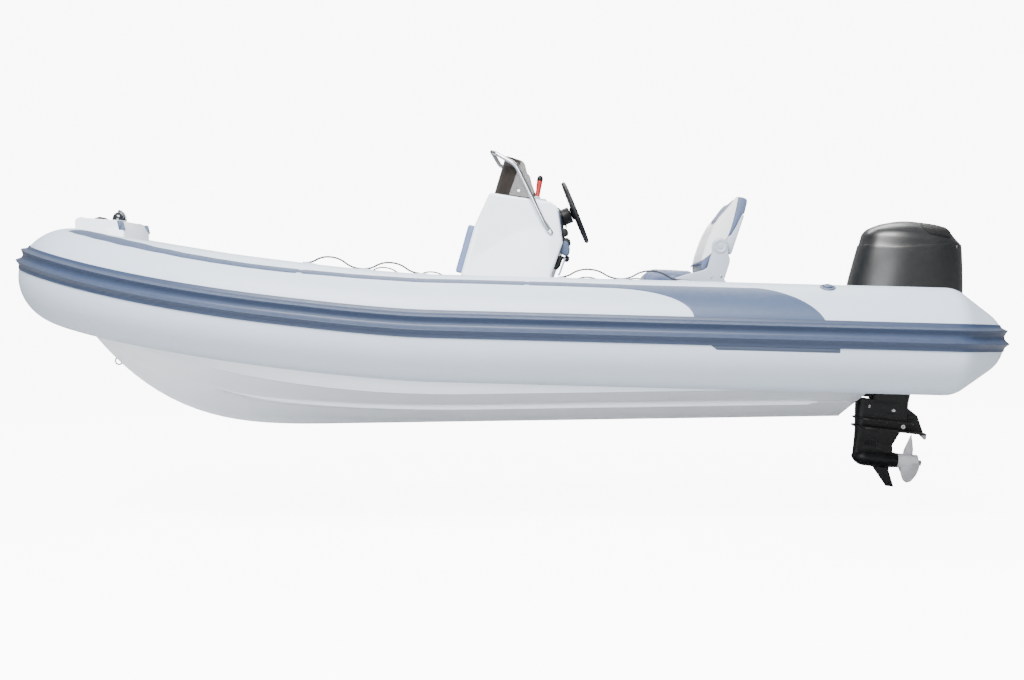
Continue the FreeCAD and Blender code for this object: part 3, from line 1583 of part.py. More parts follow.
engine_feature("prop_nut", nut_shape())


def swivel_shape():
    """Swivel bracket: a bored column and the yoke that hangs it on the tilt tube."""
    x = -size("swivel_x")
    radius = size("swivel_radius")
    top = size("swivel_top")
    foot = size("swivel_foot")
    half = size("swivel_half")
    tube = size("tilt_tube")
    column = Part.makeCylinder(radius, top + foot, Vector(x, 0, -foot))
    sleeve = Part.makeCylinder(tube * 2, 2 * half, Vector(0, -half, 0), Vector(0, 1, 0))
    web = Part.makeBox(-x, 2 * half * 0.8, tube * 3, Vector(x, -half * 0.8, -tube * 1.5))
    rib = Part.makeBox(-x * 0.6, radius, foot * 0.8, Vector(x, -radius / 2, -foot * 0.8))
    solid = column.fuse([sleeve, web, rib])
    pin = Part.makeCylinder(size("swivel_pin") + size("running_gap"), 2 * (top + foot),
                            Vector(x, 0, -foot * 1.5))
    bore = Part.makeCylinder(tube + size("running_gap"), 3 * half, Vector(0, -half * 1.5, 0), Vector(0, 1, 0))
    return solid.cut([pin, bore])


engine_feature("swivel_bracket", swivel_shape())


def steering_arm_shape():
    """Steering pin with the arms that carry the engine above and below the column."""
    x = -size("swivel_x")
    gap = size("running_gap") * 4
    thick = size("steer_arm_thick")
    top = size("swivel_top") + gap
    foot = -size("swivel_foot") - gap
    radius = size("swivel_radius")
    pin = Part.makeCylinder(size("swivel_pin"), top - foot, Vector(x, 0, foot))
    front = -x + size("steer_arm_reach")
    rear = size("swivel_radius") * 1.6
    upper = Part.makeBox(front + rear, radius * 1.3, thick, Vector(x - rear, -radius * 0.65, top))
    lower = Part.makeBox(radius * 2.2, radius * 1.6, thick, Vector(x - radius * 1.4, -radius * 0.8, foot - thick))
    return pin.fuse([upper, lower])


engine_feature("steering_arm", steering_arm_shape())

doc.recompute()


def fit_engine():
    """Trim the casings where the steering arms run into them."""
    arm = next(item for item in pieces if item.Label == "steering_arm").Shape.copy()
    for label in ("lower_cowl", "midsection"):
        item = next(item for item in pieces if item.Label == label)
        shape = item.Shape.copy()
        fitted = shape.cut(arm)
        fitted.Placement = Placement()
        item.Shape = fitted
        item.Placement = Placement()


def clamp_shape():
    """Clamp bracket: two cheek plates bolted to the transom, tied by the tilt tube."""
    half = size("clamp_half")
    thick = size("clamp_thick")
    depth = size("clamp_depth")
    centre = Vector(-size("tilt_x"), 0, size("tilt_z"))
    boss = size("tilt_tube") * 2.2
    gap = size("seat_gap")
    high = size("transom_top") - gap
    low = size("tilt_z") - depth
    spots = [
        Vector(transom_face(high) - gap, 0, high),
        Vector(transom_face(low) - gap, 0, low),
        Vector(transom_face(low) - boss * 1.1, 0, low),
        Vector(centre.x - boss, 0, centre.z - boss),
        Vector(centre.x - boss, 0, centre.z),
        Vector(centre.x, 0, centre.z + boss),
        Vector(transom_face(high) + boss * 0.9, 0, high + boss * 0.9),
        Vector(transom_face(high) + boss * 0.9, 0, high + gap * 2),
        Vector(transom_face(high) - gap, 0, high + gap * 2),
    ]
    cheek = Part.Face(Part.makePolygon(spots + spots[:1])).extrude(Vector(0, thick, 0))
    cheeks = []
    for y in (half - thick, -half):
        one = cheek.copy()
        one.translate(Vector(0, y, 0))
        cheeks.append(one)
    tube = Part.makeCylinder(size("tilt_tube"), 2 * half + thick, centre - Vector(0, half + thick / 2, 0),
                             Vector(0, 1, 0))
    return tube.fuse(cheeks)


feature("clamp_bracket", clamp_shape())
fit_engine()
doc.recompute()

for item in doc.Objects:
    if "Invalid" in item.State or "Error" in item.State:
        raise RuntimeError(f"{item.Name} failed: {item.State}")
for item in pieces:
    if item.Shape.isNull() or not item.Shape.isValid():
        raise RuntimeError(f"{item.Label} has no valid shape")

os.makedirs("parts", exist_ok=True)
for item in pieces:
    item.Shape.exportStep(os.path.join("parts", item.Label + ".step"))
    print(item.Label, len(item.Shape.Solids), round(item.Shape.Volume / 1e6, 3))
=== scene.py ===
import math

import bmesh
import bpy
from mathutils import Matrix, Vector
from mathutils.geometry import interpolate_bezier


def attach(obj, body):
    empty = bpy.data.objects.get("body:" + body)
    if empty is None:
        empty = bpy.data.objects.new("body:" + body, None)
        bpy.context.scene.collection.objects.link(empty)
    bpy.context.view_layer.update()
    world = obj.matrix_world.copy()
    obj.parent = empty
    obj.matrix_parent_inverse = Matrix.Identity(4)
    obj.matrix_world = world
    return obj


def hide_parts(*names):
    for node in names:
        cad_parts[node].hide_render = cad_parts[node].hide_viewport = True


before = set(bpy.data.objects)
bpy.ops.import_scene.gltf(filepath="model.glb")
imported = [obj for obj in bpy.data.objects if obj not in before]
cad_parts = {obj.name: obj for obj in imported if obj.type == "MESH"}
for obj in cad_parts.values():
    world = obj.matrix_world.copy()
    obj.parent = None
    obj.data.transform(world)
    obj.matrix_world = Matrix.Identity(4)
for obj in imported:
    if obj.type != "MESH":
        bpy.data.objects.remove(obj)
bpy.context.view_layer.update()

# Rigid inflatable boat: the finish of every surface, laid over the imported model.
# Metres, in the model's frame: +X to the bow, +Y to port, +Z up, origin at the
# waterline above the aft end of the keel.

UP = Vector((0, 0, 1))
MILLIMETRE = 0.001


# Camera, floor and light

PHOTO_WIDTH = 1024
PHOTO_HEIGHT = 680
EYE = Vector((1.558, 7.0, 0.4))
FOCAL_SHARE = 1.111
VANISHING = (583, 306)
ROLL = math.radians(-0.863)
FLOOR_Z = -0.80


def make_camera():
    """Camera square to the boat's port side, as the photograph was taken."""
    data = bpy.data.cameras.new("camera")
    data.sensor_width = 36.0
    data.lens = 36.0 * FOCAL_SHARE
    data.shift_x = (PHOTO_WIDTH / 2 - VANISHING[0]) / PHOTO_WIDTH
    data.shift_y = (VANISHING[1] - PHOTO_HEIGHT / 2) / PHOTO_WIDTH
    data.clip_end = 100.0
    camera = bpy.data.objects.new("camera", data)
    bpy.context.scene.collection.objects.link(camera)
    looking = (-Vector((0, 1, 0))).to_track_quat("-Z", "Y").to_matrix().to_4x4()
    camera.matrix_world = Matrix.Translation(EYE) @ looking @ Matrix.Rotation(ROLL, 4, "Z")
    bpy.context.scene.camera = camera


def area_light(name, spot, aim, size, power, colour):
    data = bpy.data.lights.new(name, "AREA")
    data.shape = "RECTANGLE"
    data.size, data.size_y = size
    data.energy = power
    data.color = colour
    lamp = bpy.data.objects.new(name, data)
    lamp.location = spot
    lamp.rotation_euler = (Vector(aim) - Vector(spot)).to_track_quat("-Z", "Y").to_euler()
    bpy.context.scene.collection.objects.link(lamp)


def make_studio():
    """White floor that curves up into a backdrop, a dim sky and three large soft lamps."""
    world = bpy.data.worlds.new("studio")
    bpy.context.scene.world = world
    world.use_nodes = True
    world.node_tree.nodes["Background"].inputs["Color"].default_value = (0.90, 0.95, 1.0, 1)
    world.node_tree.nodes["Background"].inputs["Strength"].default_value = 0.45
    area_light("key", (3.0, 6.5, 7.5), (2.0, 0, 0.2), (7.0, 3.0), 3000, (1.0, 0.985, 0.96))
    area_light("front", (4.0, 11.0, 1.6), (1.8, 0, 0.0), (8.0, 2.4), 800, (0.95, 0.975, 1.0))
    area_light("top", (1.5, -4.0, 7.0), (1.5, 0, 0.3), (8.0, 3.0), 900, (1.0, 1.0, 1.0))
    sides, points = 48, [(0, 0, FLOOR_Z)]
    profile = [(9, 0.0), (14, 0.0), (17, 0.8), (19, 3.0), (20, 7.0), (20.5, 14.0)]
    for reach, rise in profile:
        points += [(reach * math.cos(math.tau * n / sides), reach * math.sin(math.tau * n / sides), FLOOR_Z + rise)
                   for n in range(sides)]
    faces = [(0, 1 + n, 1 + (n + 1) % sides) for n in range(sides)]
    for row in range(len(profile) - 1):
        first = 1 + row * sides
        faces += [(first + n, first + sides + n, first + sides + (n + 1) % sides, first + (n + 1) % sides)
                  for n in range(sides)]
    build("studio_floor", points, faces, FLOOR)


# Shader groups and finishes

def colour(code):
    """Linear colour of a six-digit sRGB code."""
    values = [int(code[n:n + 2], 16) / 255 for n in (0, 2, 4)]
    linear = [v / 12.92 if v <= 0.04045 else ((v + 0.055) / 1.055) ** 2.4 for v in values]
    return (*linear, 1.0)


def step(tree, kind, props=None, **inputs):
    """Adds a node; a socket given as an input is linked, a value is set."""
    made = tree.nodes.new(kind)
    for key, value in (props or {}).items():
        setattr(made, key, value)
    for key, value in inputs.items():
        socket = made.inputs[int(key[1:])] if key[1:].isdigit() else made.inputs[key.replace("_", " ")]
        if isinstance(value, bpy.types.NodeSocket):
            tree.links.new(value, socket)
        else:
            socket.default_value = value
    return made


def node(tree, kind, props=None, **inputs):
    return step(tree, "ShaderNode" + kind, props, **inputs)


def maths(tree, operation, first, second=0.0, third=0.0):
    made = node(tree, "Math", {"operation": operation}, i0=first, i1=second)
    if operation in ("MULTIPLY_ADD", "SMOOTH_MIN", "COMPARE"):
        made.inputs[2].default_value = third
    return made.outputs[0]


def group_tree(kind, name, inputs, outputs):
    """Empty node group with named sockets; gives the tree, its inputs and its output node."""
    tree = bpy.data.node_groups.new(name, kind + "NodeTree")
    for label, sort, value in inputs:
        socket = tree.interface.new_socket(label, in_out="INPUT", socket_type="NodeSocket" + sort)
        if value is not None:
            socket.default_value = value
    for label, sort in outputs:
        tree.interface.new_socket(label, in_out="OUTPUT", socket_type="NodeSocket" + sort)
    return tree, tree.nodes.new("NodeGroupInput").outputs, tree.nodes.new("NodeGroupOutput").inputs


def shader_group(name, inputs, outputs):
    return group_tree("Shader", name, inputs, outputs)


def make_mottle_group():
    """Slow change of colour and roughness, with dust lying on what faces up."""
    tree, given, out = shader_group(
        "mottle",
        [("Vector", "Vector", None), ("Normal", "Vector", None), ("Colour", "Color", (1, 1, 1, 1)),
         ("Shade", "Color", (0.8, 0.8, 0.8, 1)), ("Scale", "Float", 3.0), ("Amount", "Float", 0.3),
         ("Roughness", "Float", 0.4), ("Dust", "Float", 0.1)],
        [("Colour", "Color"), ("Roughness", "Float")])
    broad = node(tree, "TexNoise", Vector=given["Vector"], Scale=given["Scale"], Detail=5.0, Roughness=0.6)
    fine_scale = maths(tree, "MULTIPLY", given["Scale"], 17.0)
    fine = node(tree, "TexNoise", Vector=given["Vector"], Scale=fine_scale, Detail=3.0)
    blotch = node(tree, "MapRange", Value=broad.outputs["Fac"], From_Min=0.35, From_Max=0.75)
    share = maths(tree, "MULTIPLY", blotch.outputs[0], given["Amount"])
    mixed = node(tree, "Mix", {"data_type": "RGBA"}, i0=share, i6=given["Colour"], i7=given["Shade"])
    upward = node(tree, "SeparateXYZ", Vector=given["Normal"])
    lying = node(tree, "MapRange", Value=upward.outputs["Z"], From_Min=0.55, From_Max=1.0)
    speck = maths(tree, "MULTIPLY", lying.outputs[0], fine.outputs["Fac"])
    dust = maths(tree, "MULTIPLY", speck, given["Dust"])
    dusty = node(tree, "Mix", {"data_type": "RGBA"}, i0=dust, i6=mixed.outputs[2], i7=colour("b9b6ae"))
    tree.links.new(dusty.outputs[2], out["Colour"])
    spread = maths(tree, "MULTIPLY", maths(tree, "SUBTRACT", fine.outputs["Fac"], 0.5), 0.16)
    rough = maths(tree, "ADD", given["Roughness"], spread)
    rougher = maths(tree, "ADD", rough, maths(tree, "MULTIPLY", dust, 0.6))
    tree.links.new(rougher, out["Roughness"])
    return tree


def make_grain_group():
    """Height of a fine pebbled grain, as on vinyl, moulded plastic and grip paint."""
    tree, given, out = shader_group(
        "grain", [("Vector", "Vector", None), ("Pitch", "Float", 0.002), ("Softness", "Float", 0.5)],
        [("Height", "Float")])
    scale = maths(tree, "DIVIDE", 1.0, given["Pitch"])
    cells = node(tree, "TexVoronoi", {"feature": "SMOOTH_F1"}, Vector=given["Vector"], Scale=scale,
                 Smoothness=given["Softness"])
    waves = node(tree, "TexNoise", Vector=given["Vector"], Scale=maths(tree, "MULTIPLY", scale, 0.35), Detail=2.0)
    height = maths(tree, "ADD", cells.outputs["Distance"], waves.outputs["Fac"])
    tree.links.new(height, out["Height"])
    return tree


def make_weave_group():
    """Height of a plain woven cloth under a thin coating."""
    tree, given, out = shader_group(
        "weave", [("Vector", "Vector", None), ("Pitch", "Float", 0.003)], [("Height", "Float")])
    parts = node(tree, "SeparateXYZ", Vector=given["Vector"])
    turns = maths(tree, "DIVIDE", math.tau, given["Pitch"])
    across = maths(tree, "SINE", maths(tree, "MULTIPLY", parts.outputs["X"], turns))
    along = maths(tree, "SINE", maths(tree, "MULTIPLY", parts.outputs["Y"], turns))
    height = maths(tree, "MULTIPLY", across, along)
    tree.links.new(height, out["Height"])
    return tree


def make_edge_group():
    """Mask of the worn outer edges of a hard piece."""
    tree, given, out = shader_group(
        "edge_wear", [("Vector", "Vector", None), ("Pointiness", "Float", 0.5), ("Amount", "Float", 0.5)],
        [("Mask", "Float")])
    ragged = node(tree, "TexNoise", Vector=given["Vector"], Scale=60.0, Detail=6.0, Roughness=0.7)
    edge = node(tree, "MapRange", Value=given["Pointiness"], From_Min=0.53, From_Max=0.62)
    chips = node(tree, "MapRange", Value=ragged.outputs["Fac"], From_Min=0.45, From_Max=0.62)
    both = maths(tree, "MULTIPLY", edge.outputs[0], chips.outputs[0])
    tree.links.new(maths(tree, "MULTIPLY", both, given["Amount"]), out["Mask"])
    return tree


MOTTLE = make_mottle_group()
GRAIN = make_grain_group()
WEAVE = make_weave_group()
EDGE_WEAR = make_edge_group()


def place_group(tree, group, **inputs):
    return step(tree, "ShaderNodeGroup", {"node_tree": group}, **inputs)


def finish_tree(name):
    """New material: gives it, its tree, its shader, and where object places, normals and UVs come from."""
    material = bpy.data.materials.new(name)
    material.use_nodes = True
    tree = material.node_tree
    return material, tree, tree.nodes["Principled BSDF"], tree.nodes.new("ShaderNodeTexCoord").outputs


def coated(name, main, shade, rough, scale=3.0, amount=0.3, dust=0.1, metallic=0.0, coat=0.0, coat_rough=0.1,
           specular=0.5, grain=None, weave=None, wear=None, sheen=0.0):
    """A finish of one main colour: mottled, with a relief and, if asked for, worn edges.

    Grain and weave are (pitch, depth) of a relief; wear is (colour code, amount, metallic)."""
    material, tree, shader, place = finish_tree(name)
    mottle = place_group(tree, MOTTLE, Vector=place["Object"], Normal=place["Normal"], Colour=colour(main),
                         Shade=colour(shade), Scale=scale, Amount=amount, Roughness=rough, Dust=dust)
    base = mottle.outputs["Colour"]
    if wear:
        sharp = node(tree, "NewGeometry")
        edge = place_group(tree, EDGE_WEAR, Vector=place["Object"], Pointiness=sharp.outputs["Pointiness"],
                           Amount=wear[1])
        worn = node(tree, "Mix", {"data_type": "RGBA"}, i0=edge.outputs["Mask"], i6=base, i7=colour(wear[0]))
        base = worn.outputs[2]
        if wear[2]:
            tree.links.new(edge.outputs["Mask"], shader.inputs["Metallic"])
    tree.links.new(base, shader.inputs["Base Color"])
    tree.links.new(mottle.outputs["Roughness"], shader.inputs["Roughness"])
    if not (wear and wear[2]):
        shader.inputs["Metallic"].default_value = metallic
    shader.inputs["Coat Weight"].default_value = coat
    shader.inputs["Coat Roughness"].default_value = coat_rough
    shader.inputs["Specular IOR Level"].default_value = specular
    shader.inputs["Sheen Weight"].default_value = sheen
    normal = None
    for group, (pitch, depth) in [pair for pair in ((WEAVE, weave), (GRAIN, grain)) if pair[1]]:
        height = place_group(tree, group, Vector=place["Object"], Pitch=pitch)
        bump = node(tree, "Bump", Height=height.outputs["Height"], Strength=0.6, Distance=depth)
        if normal:
            tree.links.new(normal, bump.inputs["Normal"])
        normal = bump.outputs["Normal"]
    if normal:
        tree.links.new(normal, shader.inputs["Normal"])
    return material


def brushed(name, main, rough, stretch):
    """Drawn metal: fine lines along the stretched direction."""
    material, tree, shader, place = finish_tree(name)
    lines = node(tree, "Mapping", Vector=place["Object"], Scale=stretch)
    streak = node(tree, "TexNoise", Vector=lines.outputs[0], Scale=40.0, Detail=4.0)
    smudge = node(tree, "TexNoise", Vector=place["Object"], Scale=9.0, Detail=3.0)
    tone = node(tree, "Mix", {"data_type": "RGBA"}, i0=streak.outputs["Fac"], i6=colour(main),
                i7=tuple(0.72 * c for c in colour(main)[:3]) + (1.0,))
    tree.links.new(tone.outputs[2], shader.inputs["Base Color"])
    both = maths(tree, "MULTIPLY", streak.outputs["Fac"], smudge.outputs["Fac"])
    tree.links.new(maths(tree, "MULTIPLY_ADD", both, 0.35, rough), shader.inputs["Roughness"])
    shader.inputs["Metallic"].default_value = 1.0
    bump = node(tree, "Bump", Height=streak.outputs["Fac"], Strength=0.15, Distance=0.0002)
    tree.links.new(bump.outputs[0], shader.inputs["Normal"])
    return material


def studio_paper():
    """Backdrop paper: shines white to the camera and stays mid grey to what it lights."""
    material, tree, shader, place = finish_tree("studio_paper")
    ray = node(tree, "LightPath")
    fibre = node(tree, "TexNoise", Vector=place["Object"], Scale=3.0, Detail=3.0)
    tone = node(tree, "Mix", {"data_type": "RGBA"}, i0=fibre.outputs["Fac"], i6=(0.50, 0.50, 0.50, 1),
                i7=(0.54, 0.54, 0.54, 1))
    tree.links.new(tone.outputs[2], shader.inputs["Base Color"])
    shader.inputs["Roughness"].default_value = 0.95
    shader.inputs["Specular IOR Level"].default_value = 0.0
    shader.inputs["Emission Color"].default_value = (1.0, 1.0, 1.0, 1)
    tree.links.new(maths(tree, "MULTIPLY", ray.outputs["Is Camera Ray"], 9.0), shader.inputs["Emission Strength"])
    return material


def smoked_glass():
    """Dark tinted acrylic with faint smears."""
    material, tree, shader, place = finish_tree("smoked_acrylic")
    smear = node(tree, "TexNoise", Vector=place["Object"], Scale=7.0, Detail=4.0)
    tint = node(tree, "Mix", {"data_type": "RGBA"}, i0=smear.outputs["Fac"], i6=colour("5a5350"), i7=colour("6b6460"))
    tree.links.new(tint.outputs[2], shader.inputs["Base Color"])
    tree.links.new(maths(tree, "MULTIPLY_ADD", smear.outputs["Fac"], 0.08, 0.02), shader.inputs["Roughness"])
    shader.inputs["Transmission Weight"].default_value = 0.85
    shader.inputs["IOR"].default_value = 1.49
    return material


CLOTH = {"weave": (0.0034, 0.00012), "grain": (0.012, 0.0003)}
COLLAR_CLOTH = coated("collar_cloth", "bfcbdb", "b4c1d2", 0.42, 1.3, 0.35, 0.10, specular=0.35, **CLOTH)
TRIM_CLOTH = coated("trim_cloth", "394965", "33425c", 0.46, 2.0, 0.4, 0.12, specular=0.35, **CLOTH)
WEAR_CLOTH = coated("wear_cloth", "3b465b", "333d50", 0.62, 6.0, 0.4, 0.12, grain=(0.004, 0.0006))
STRAKE_RUBBER = coated("strake_rubber", "323f58", "2b374e", 0.44, 2.4, 0.45, 0.10, grain=(0.0022, 0.00015),
                       specular=0.4)
GELCOAT = coated("gelcoat", "ebf1fa", "e2e9f3", 0.16, 1.1, 0.4, 0.05, coat=0.6, coat_rough=0.05,
                 grain=(0.03, 0.00015))
GELCOAT_INNER = coated("gelcoat_inner", "dcdfe6", "cfd3db", 0.30, 2.0, 0.35, 0.12, coat=0.25, coat_rough=0.12,
                       grain=(0.02, 0.0001))
GRIP_PAINT = coated("grip_paint", "c3c8cf", "b2b8c0", 0.72, 5.0, 0.45, 0.25, grain=(0.0035, 0.0016))
STEP_PAD = coated("step_pad", "8f9dae", "808d9e", 0.75, 5.0, 0.4, 0.2, grain=(0.003, 0.0014))
BLUE_VINYL = coated("blue_vinyl", "4b5876", "424e6b", 0.48, 5.0, 0.4, 0.10, grain=(0.0025, 0.0004), sheen=0.15)
SKY_VINYL = coated("sky_vinyl", "5c6d92", "536388", 0.5, 5.0, 0.35, 0.10, grain=(0.0025, 0.0004), sheen=0.15)
PALE_VINYL = coated("pale_vinyl", "e3e4e6", "d6d8db", 0.46, 4.0, 0.35, 0.10, grain=(0.0025, 0.0004), sheen=0.1)
THREAD = coated("thread", "c9ced6", "a9b0ba", 0.7, 40.0, 0.5, 0.0)
STAINLESS = brushed("stainless", "c9cbce", 0.12, (30, 1.5, 1.5))
CAST_STEEL = brushed("cast_steel", "9a9ca0", 0.35, (6, 6, 6))
BLACK_PLASTIC = coated("black_plastic", "07080b", "0b0d11", 0.45, 8.0, 0.4, 0.12, grain=(0.0015, 0.0003),
                       wear=("1b1d22", 0.5, False), specular=0.25)
GREY_PLASTIC = coated("grey_plastic", "3d4b66", "354259", 0.45, 8.0, 0.4, 0.12, grain=(0.0015, 0.0003),
                      wear=("8b94a3", 0.5, False))
PALE_PLASTIC = coated("pale_plastic", "a3abb8", "949dab", 0.4, 8.0, 0.35, 0.12, grain=(0.0015, 0.0002))
WHEEL_RUBBER = coated("wheel_rubber", "090c10", "0d1014", 0.55, 12.0, 0.4, 0.15, grain=(0.0018, 0.0006),
                      specular=0.3)
RED_GRIP = coated("red_grip", "a8231f", "8a1a18", 0.35, 12.0, 0.4, 0.1, coat=0.3)
ENGINE_SHELL = coated("engine_shell", "0a0c0e", "0d1012", 0.40, 2.5, 0.5, 0.06, coat=0.5, coat_rough=0.30,
                      grain=(0.02, 0.0001), wear=("15181b", 0.4, False))
ENGINE_CAST = coated("engine_cast", "040506", "07090b", 0.4, 6.0, 0.5, 0.12, coat=0.08, coat_rough=0.2, specular=0.2,
                     grain=(0.0035, 0.0003), wear=("1d2023", 0.5, False))
ZINC = coated("zinc", "8e9296", "6f7377", 0.6, 20.0, 0.6, 0.1, metallic=0.6, grain=(0.004, 0.0006))
PROP_PAINT = coated("prop_paint", "cfcfd2", "b6b6ba", 0.32, 14.0, 0.5, 0.05, grain=(0.006, 0.0002),
                    wear=("77787c", 0.8, False))
ROPE = coated("rope", "26292f", "1f2227", 0.75, 60.0, 0.5, 0.1, grain=(0.0015, 0.0006))
LAMP_GLASS = coated("lamp_glass", "1c2026", "101318", 0.08, 20.0, 0.3, 0.02, coat=1.0, coat_rough=0.02)
GAUGE_FACE = coated("gauge_face", "0d0f12", "15181c", 0.25, 20.0, 0.3, 0.02, coat=0.8, coat_rough=0.03)
ACRYLIC = smoked_glass()
FLOOR = studio_paper()


# Mesh helpers

def build(name, points, faces, material):
    """Object from plain points and faces."""
    mesh = bpy.data.meshes.new(name)
    mesh.from_pydata([tuple(p) for p in points], [], faces)
    mesh.materials.append(material)
    made = bpy.data.objects.new(name, mesh)
    bpy.context.scene.collection.objects.link(made)
    return made


def tidy_mesh(piece, crease=35.0, weld=1e-5):
    """Welds doubles, turns faces outwards and marks what is sharper than the crease."""
    mesh = piece.data
    work = bmesh.new()
    work.from_mesh(mesh)
    bmesh.ops.remove_doubles(work, verts=work.verts, dist=weld)
    bmesh.ops.recalc_face_normals(work, faces=work.faces)
    limit = math.radians(crease)
    for face in work.faces:
        face.smooth = True
    for edge in work.edges:
        edge.smooth = len(edge.link_faces) == 2 and edge.calc_face_angle(0.0) < limit
    work.to_mesh(mesh)
    work.free()
    return piece


def settle(piece):
    """Turns live modifiers into plain mesh."""
    graph = bpy.context.evaluated_depsgraph_get()
    mesh = bpy.data.meshes.new_from_object(piece.evaluated_get(graph), preserve_all_data_layers=True,
                                           depsgraph=graph)
    old = piece.data
    piece.modifiers.clear()
    piece.data = mesh
    bpy.data.meshes.remove(old)
    mesh.name = piece.name
    return piece


def rounded(piece, width, segments=3):
    """Rounds the edges of a hard piece."""
    tidy_mesh(piece)
    bevel = piece.modifiers.new("round", "BEVEL")
    bevel.width = width
    bevel.segments = segments
    bevel.limit_method = "ANGLE"
    bevel.angle_limit = math.radians(30)
    bevel.use_clamp_overlap = True
    bevel.harden_normals = False
    settle(piece)
    return tidy_mesh(piece, 40.0)


def ring_faces(rows, count, closed=True, first=0):
    """Quads between successive rings of the same count."""
    faces = []
    for row in range(rows - 1):
        for n in range(count if closed else count - 1):
            a = first + row * count + n
            b = first + row * count + (n + 1) % count
            faces.append((a, b, b + count, a + count))
    return faces


def loft(name, rings, material):
    """Skin through rings of points, its ends closed."""
    points = [p for ring in rings for p in ring]
    count = len(rings[0])
    faces = ring_faces(len(rings), count)
    faces += [tuple(reversed(range(count))), tuple(range(len(points) - count, len(points)))]
    return build(name, points, faces, material)


def two_sided(rows, count):
    """Faces of a sheet of two layers on one grid, the outer one first, closed round its rim."""
    outer, total = ring_faces(rows, count, False), rows * count
    inner = [tuple(v + total for v in reversed(face)) for face in outer]
    rim = list(range(count)) + [(row + 1) * count - 1 for row in range(1, rows)]
    rim += [(rows - 1) * count + n for n in range(count - 2, -1, -1)] + [row * count for row in range(rows - 2, 0, -1)]
    return outer + inner + [(b, a, a + total, b + total) for a, b in zip(rim, rim[1:] + rim[:1])]


def circle(centre, out, lift, radius, sides):
    """Ring of points about a centre, from one direction towards another."""
    return [centre + (out * math.cos(math.tau * n / sides) + lift * math.sin(math.tau * n / sides)) * radius
            for n in range(sides)]


def slab(name, outline, low, high, material, edge=0.004, segments=3):
    """A side-view outline given a width across the boat, its edges rounded."""
    rings = [[Vector((x, y, z)) for x, z in outline] for y in (low, high)]
    return rounded(loft(name, rings, material), edge, segments)


def plate(name, outline, low, high, material, edge=0.004, segments=3):
    """A plan outline given a height, its edges rounded."""
    rings = [[Vector((x, y, z)) for x, y in outline] for z in (low, high)]
    return rounded(loft(name, rings, material), edge, segments)


def rounded_rectangle(x0, x1, y0, y1, radius):
    """Plan outline of a rectangle with round corners."""
    steps = 6
    corners = ((x1 - radius, y1 - radius, 0), (x0 + radius, y1 - radius, 90),
               (x0 + radius, y0 + radius, 180), (x1 - radius, y0 + radius, 270))
    spots = []
    for x, y, start in corners:
        for n in range(steps + 1):
            turn = math.radians(start + 90 * n / steps)
            spots.append((x + radius * math.cos(turn), y + radius * math.sin(turn)))
    return spots


def frames_along(path):
    """Side and up directions along a path, carried with the least twist."""
    headings = [(after - before).normalized() for before, after in zip(path[:1] + path, path[1:] + path[-1:])]
    side = headings[0].orthogonal().normalized()
    frames = []
    for n, heading in enumerate(headings):
        if n:
            side = headings[n - 1].rotation_difference(heading) @ side
        side = (side - heading * side.dot(heading)).normalized()
        frames.append((side, heading.cross(side)))
    return frames


def bar(name, path, radius, material, sides=14, flat=1.0, dome=True):
    """Round bar along a path; flat squeezes its section, dome rounds its ends."""
    rings = [circle(spot, side, lift * flat, radius, sides) for spot, (side, lift) in zip(path, frames_along(path))]
    if dome:
        for end, inward in ((0, 1), (-1, -2)):
            out = (path[end] - path[inward]).normalized()
            cap = []
            for lean in (30, 60, 85):
                turn = math.radians(lean)
                cap.append([path[end] + (p - path[end]) * math.cos(turn) + out * (radius * math.sin(turn))
                            for p in rings[end]])
            rings = list(reversed(cap)) + rings if end == 0 else rings + cap
    return tidy_mesh(loft(name, rings, material), 50.0)


def bent(spots, radii, steps=8):
    """Straight runs joined by arcs: the route of a bent rigid bar."""
    path = [spots[0]]
    for n in range(1, len(spots) - 1):
        before = (spots[n - 1] - spots[n]).normalized()
        after = (spots[n + 1] - spots[n]).normalized()
        half_turn = before.angle(after) / 2
        reach = min(radii[n - 1] / math.tan(half_turn), 0.48 * (spots[n - 1] - spots[n]).length,
                    0.48 * (spots[n + 1] - spots[n]).length)
        start = spots[n] + before * reach
        stop = spots[n] + after * reach
        path += interpolate_bezier(start, start.lerp(spots[n], 0.55), stop.lerp(spots[n], 0.55), stop, steps)
    path.append(spots[-1])
    return path


def turned(name, profile, spot, axis, material, sides=32, crease=35.0):
    """Turned piece from millimetre rows of (radius, height) about an axis, closed at both ends."""
    turn = UP.rotation_difference(Vector(axis).normalized())
    rings = []
    for radius, height in profile:
        ring = circle(Vector((0, 0, height * MILLIMETRE)), Vector((1, 0, 0)), Vector((0, 1, 0)),
                      max(radius, 0.02) * MILLIMETRE, sides)
        rings.append([Vector(spot) + turn @ p for p in ring])
    return tidy_mesh(loft(name, rings, material), crease)


def mirrored(points, faces):
    """The same with its starboard twin added."""
    count = len(points)
    twin = [Vector((p[0], -p[1], p[2])) for p in points]
    return list(points) + twin, list(faces) + [tuple(count + k for k in reversed(face)) for face in faces]


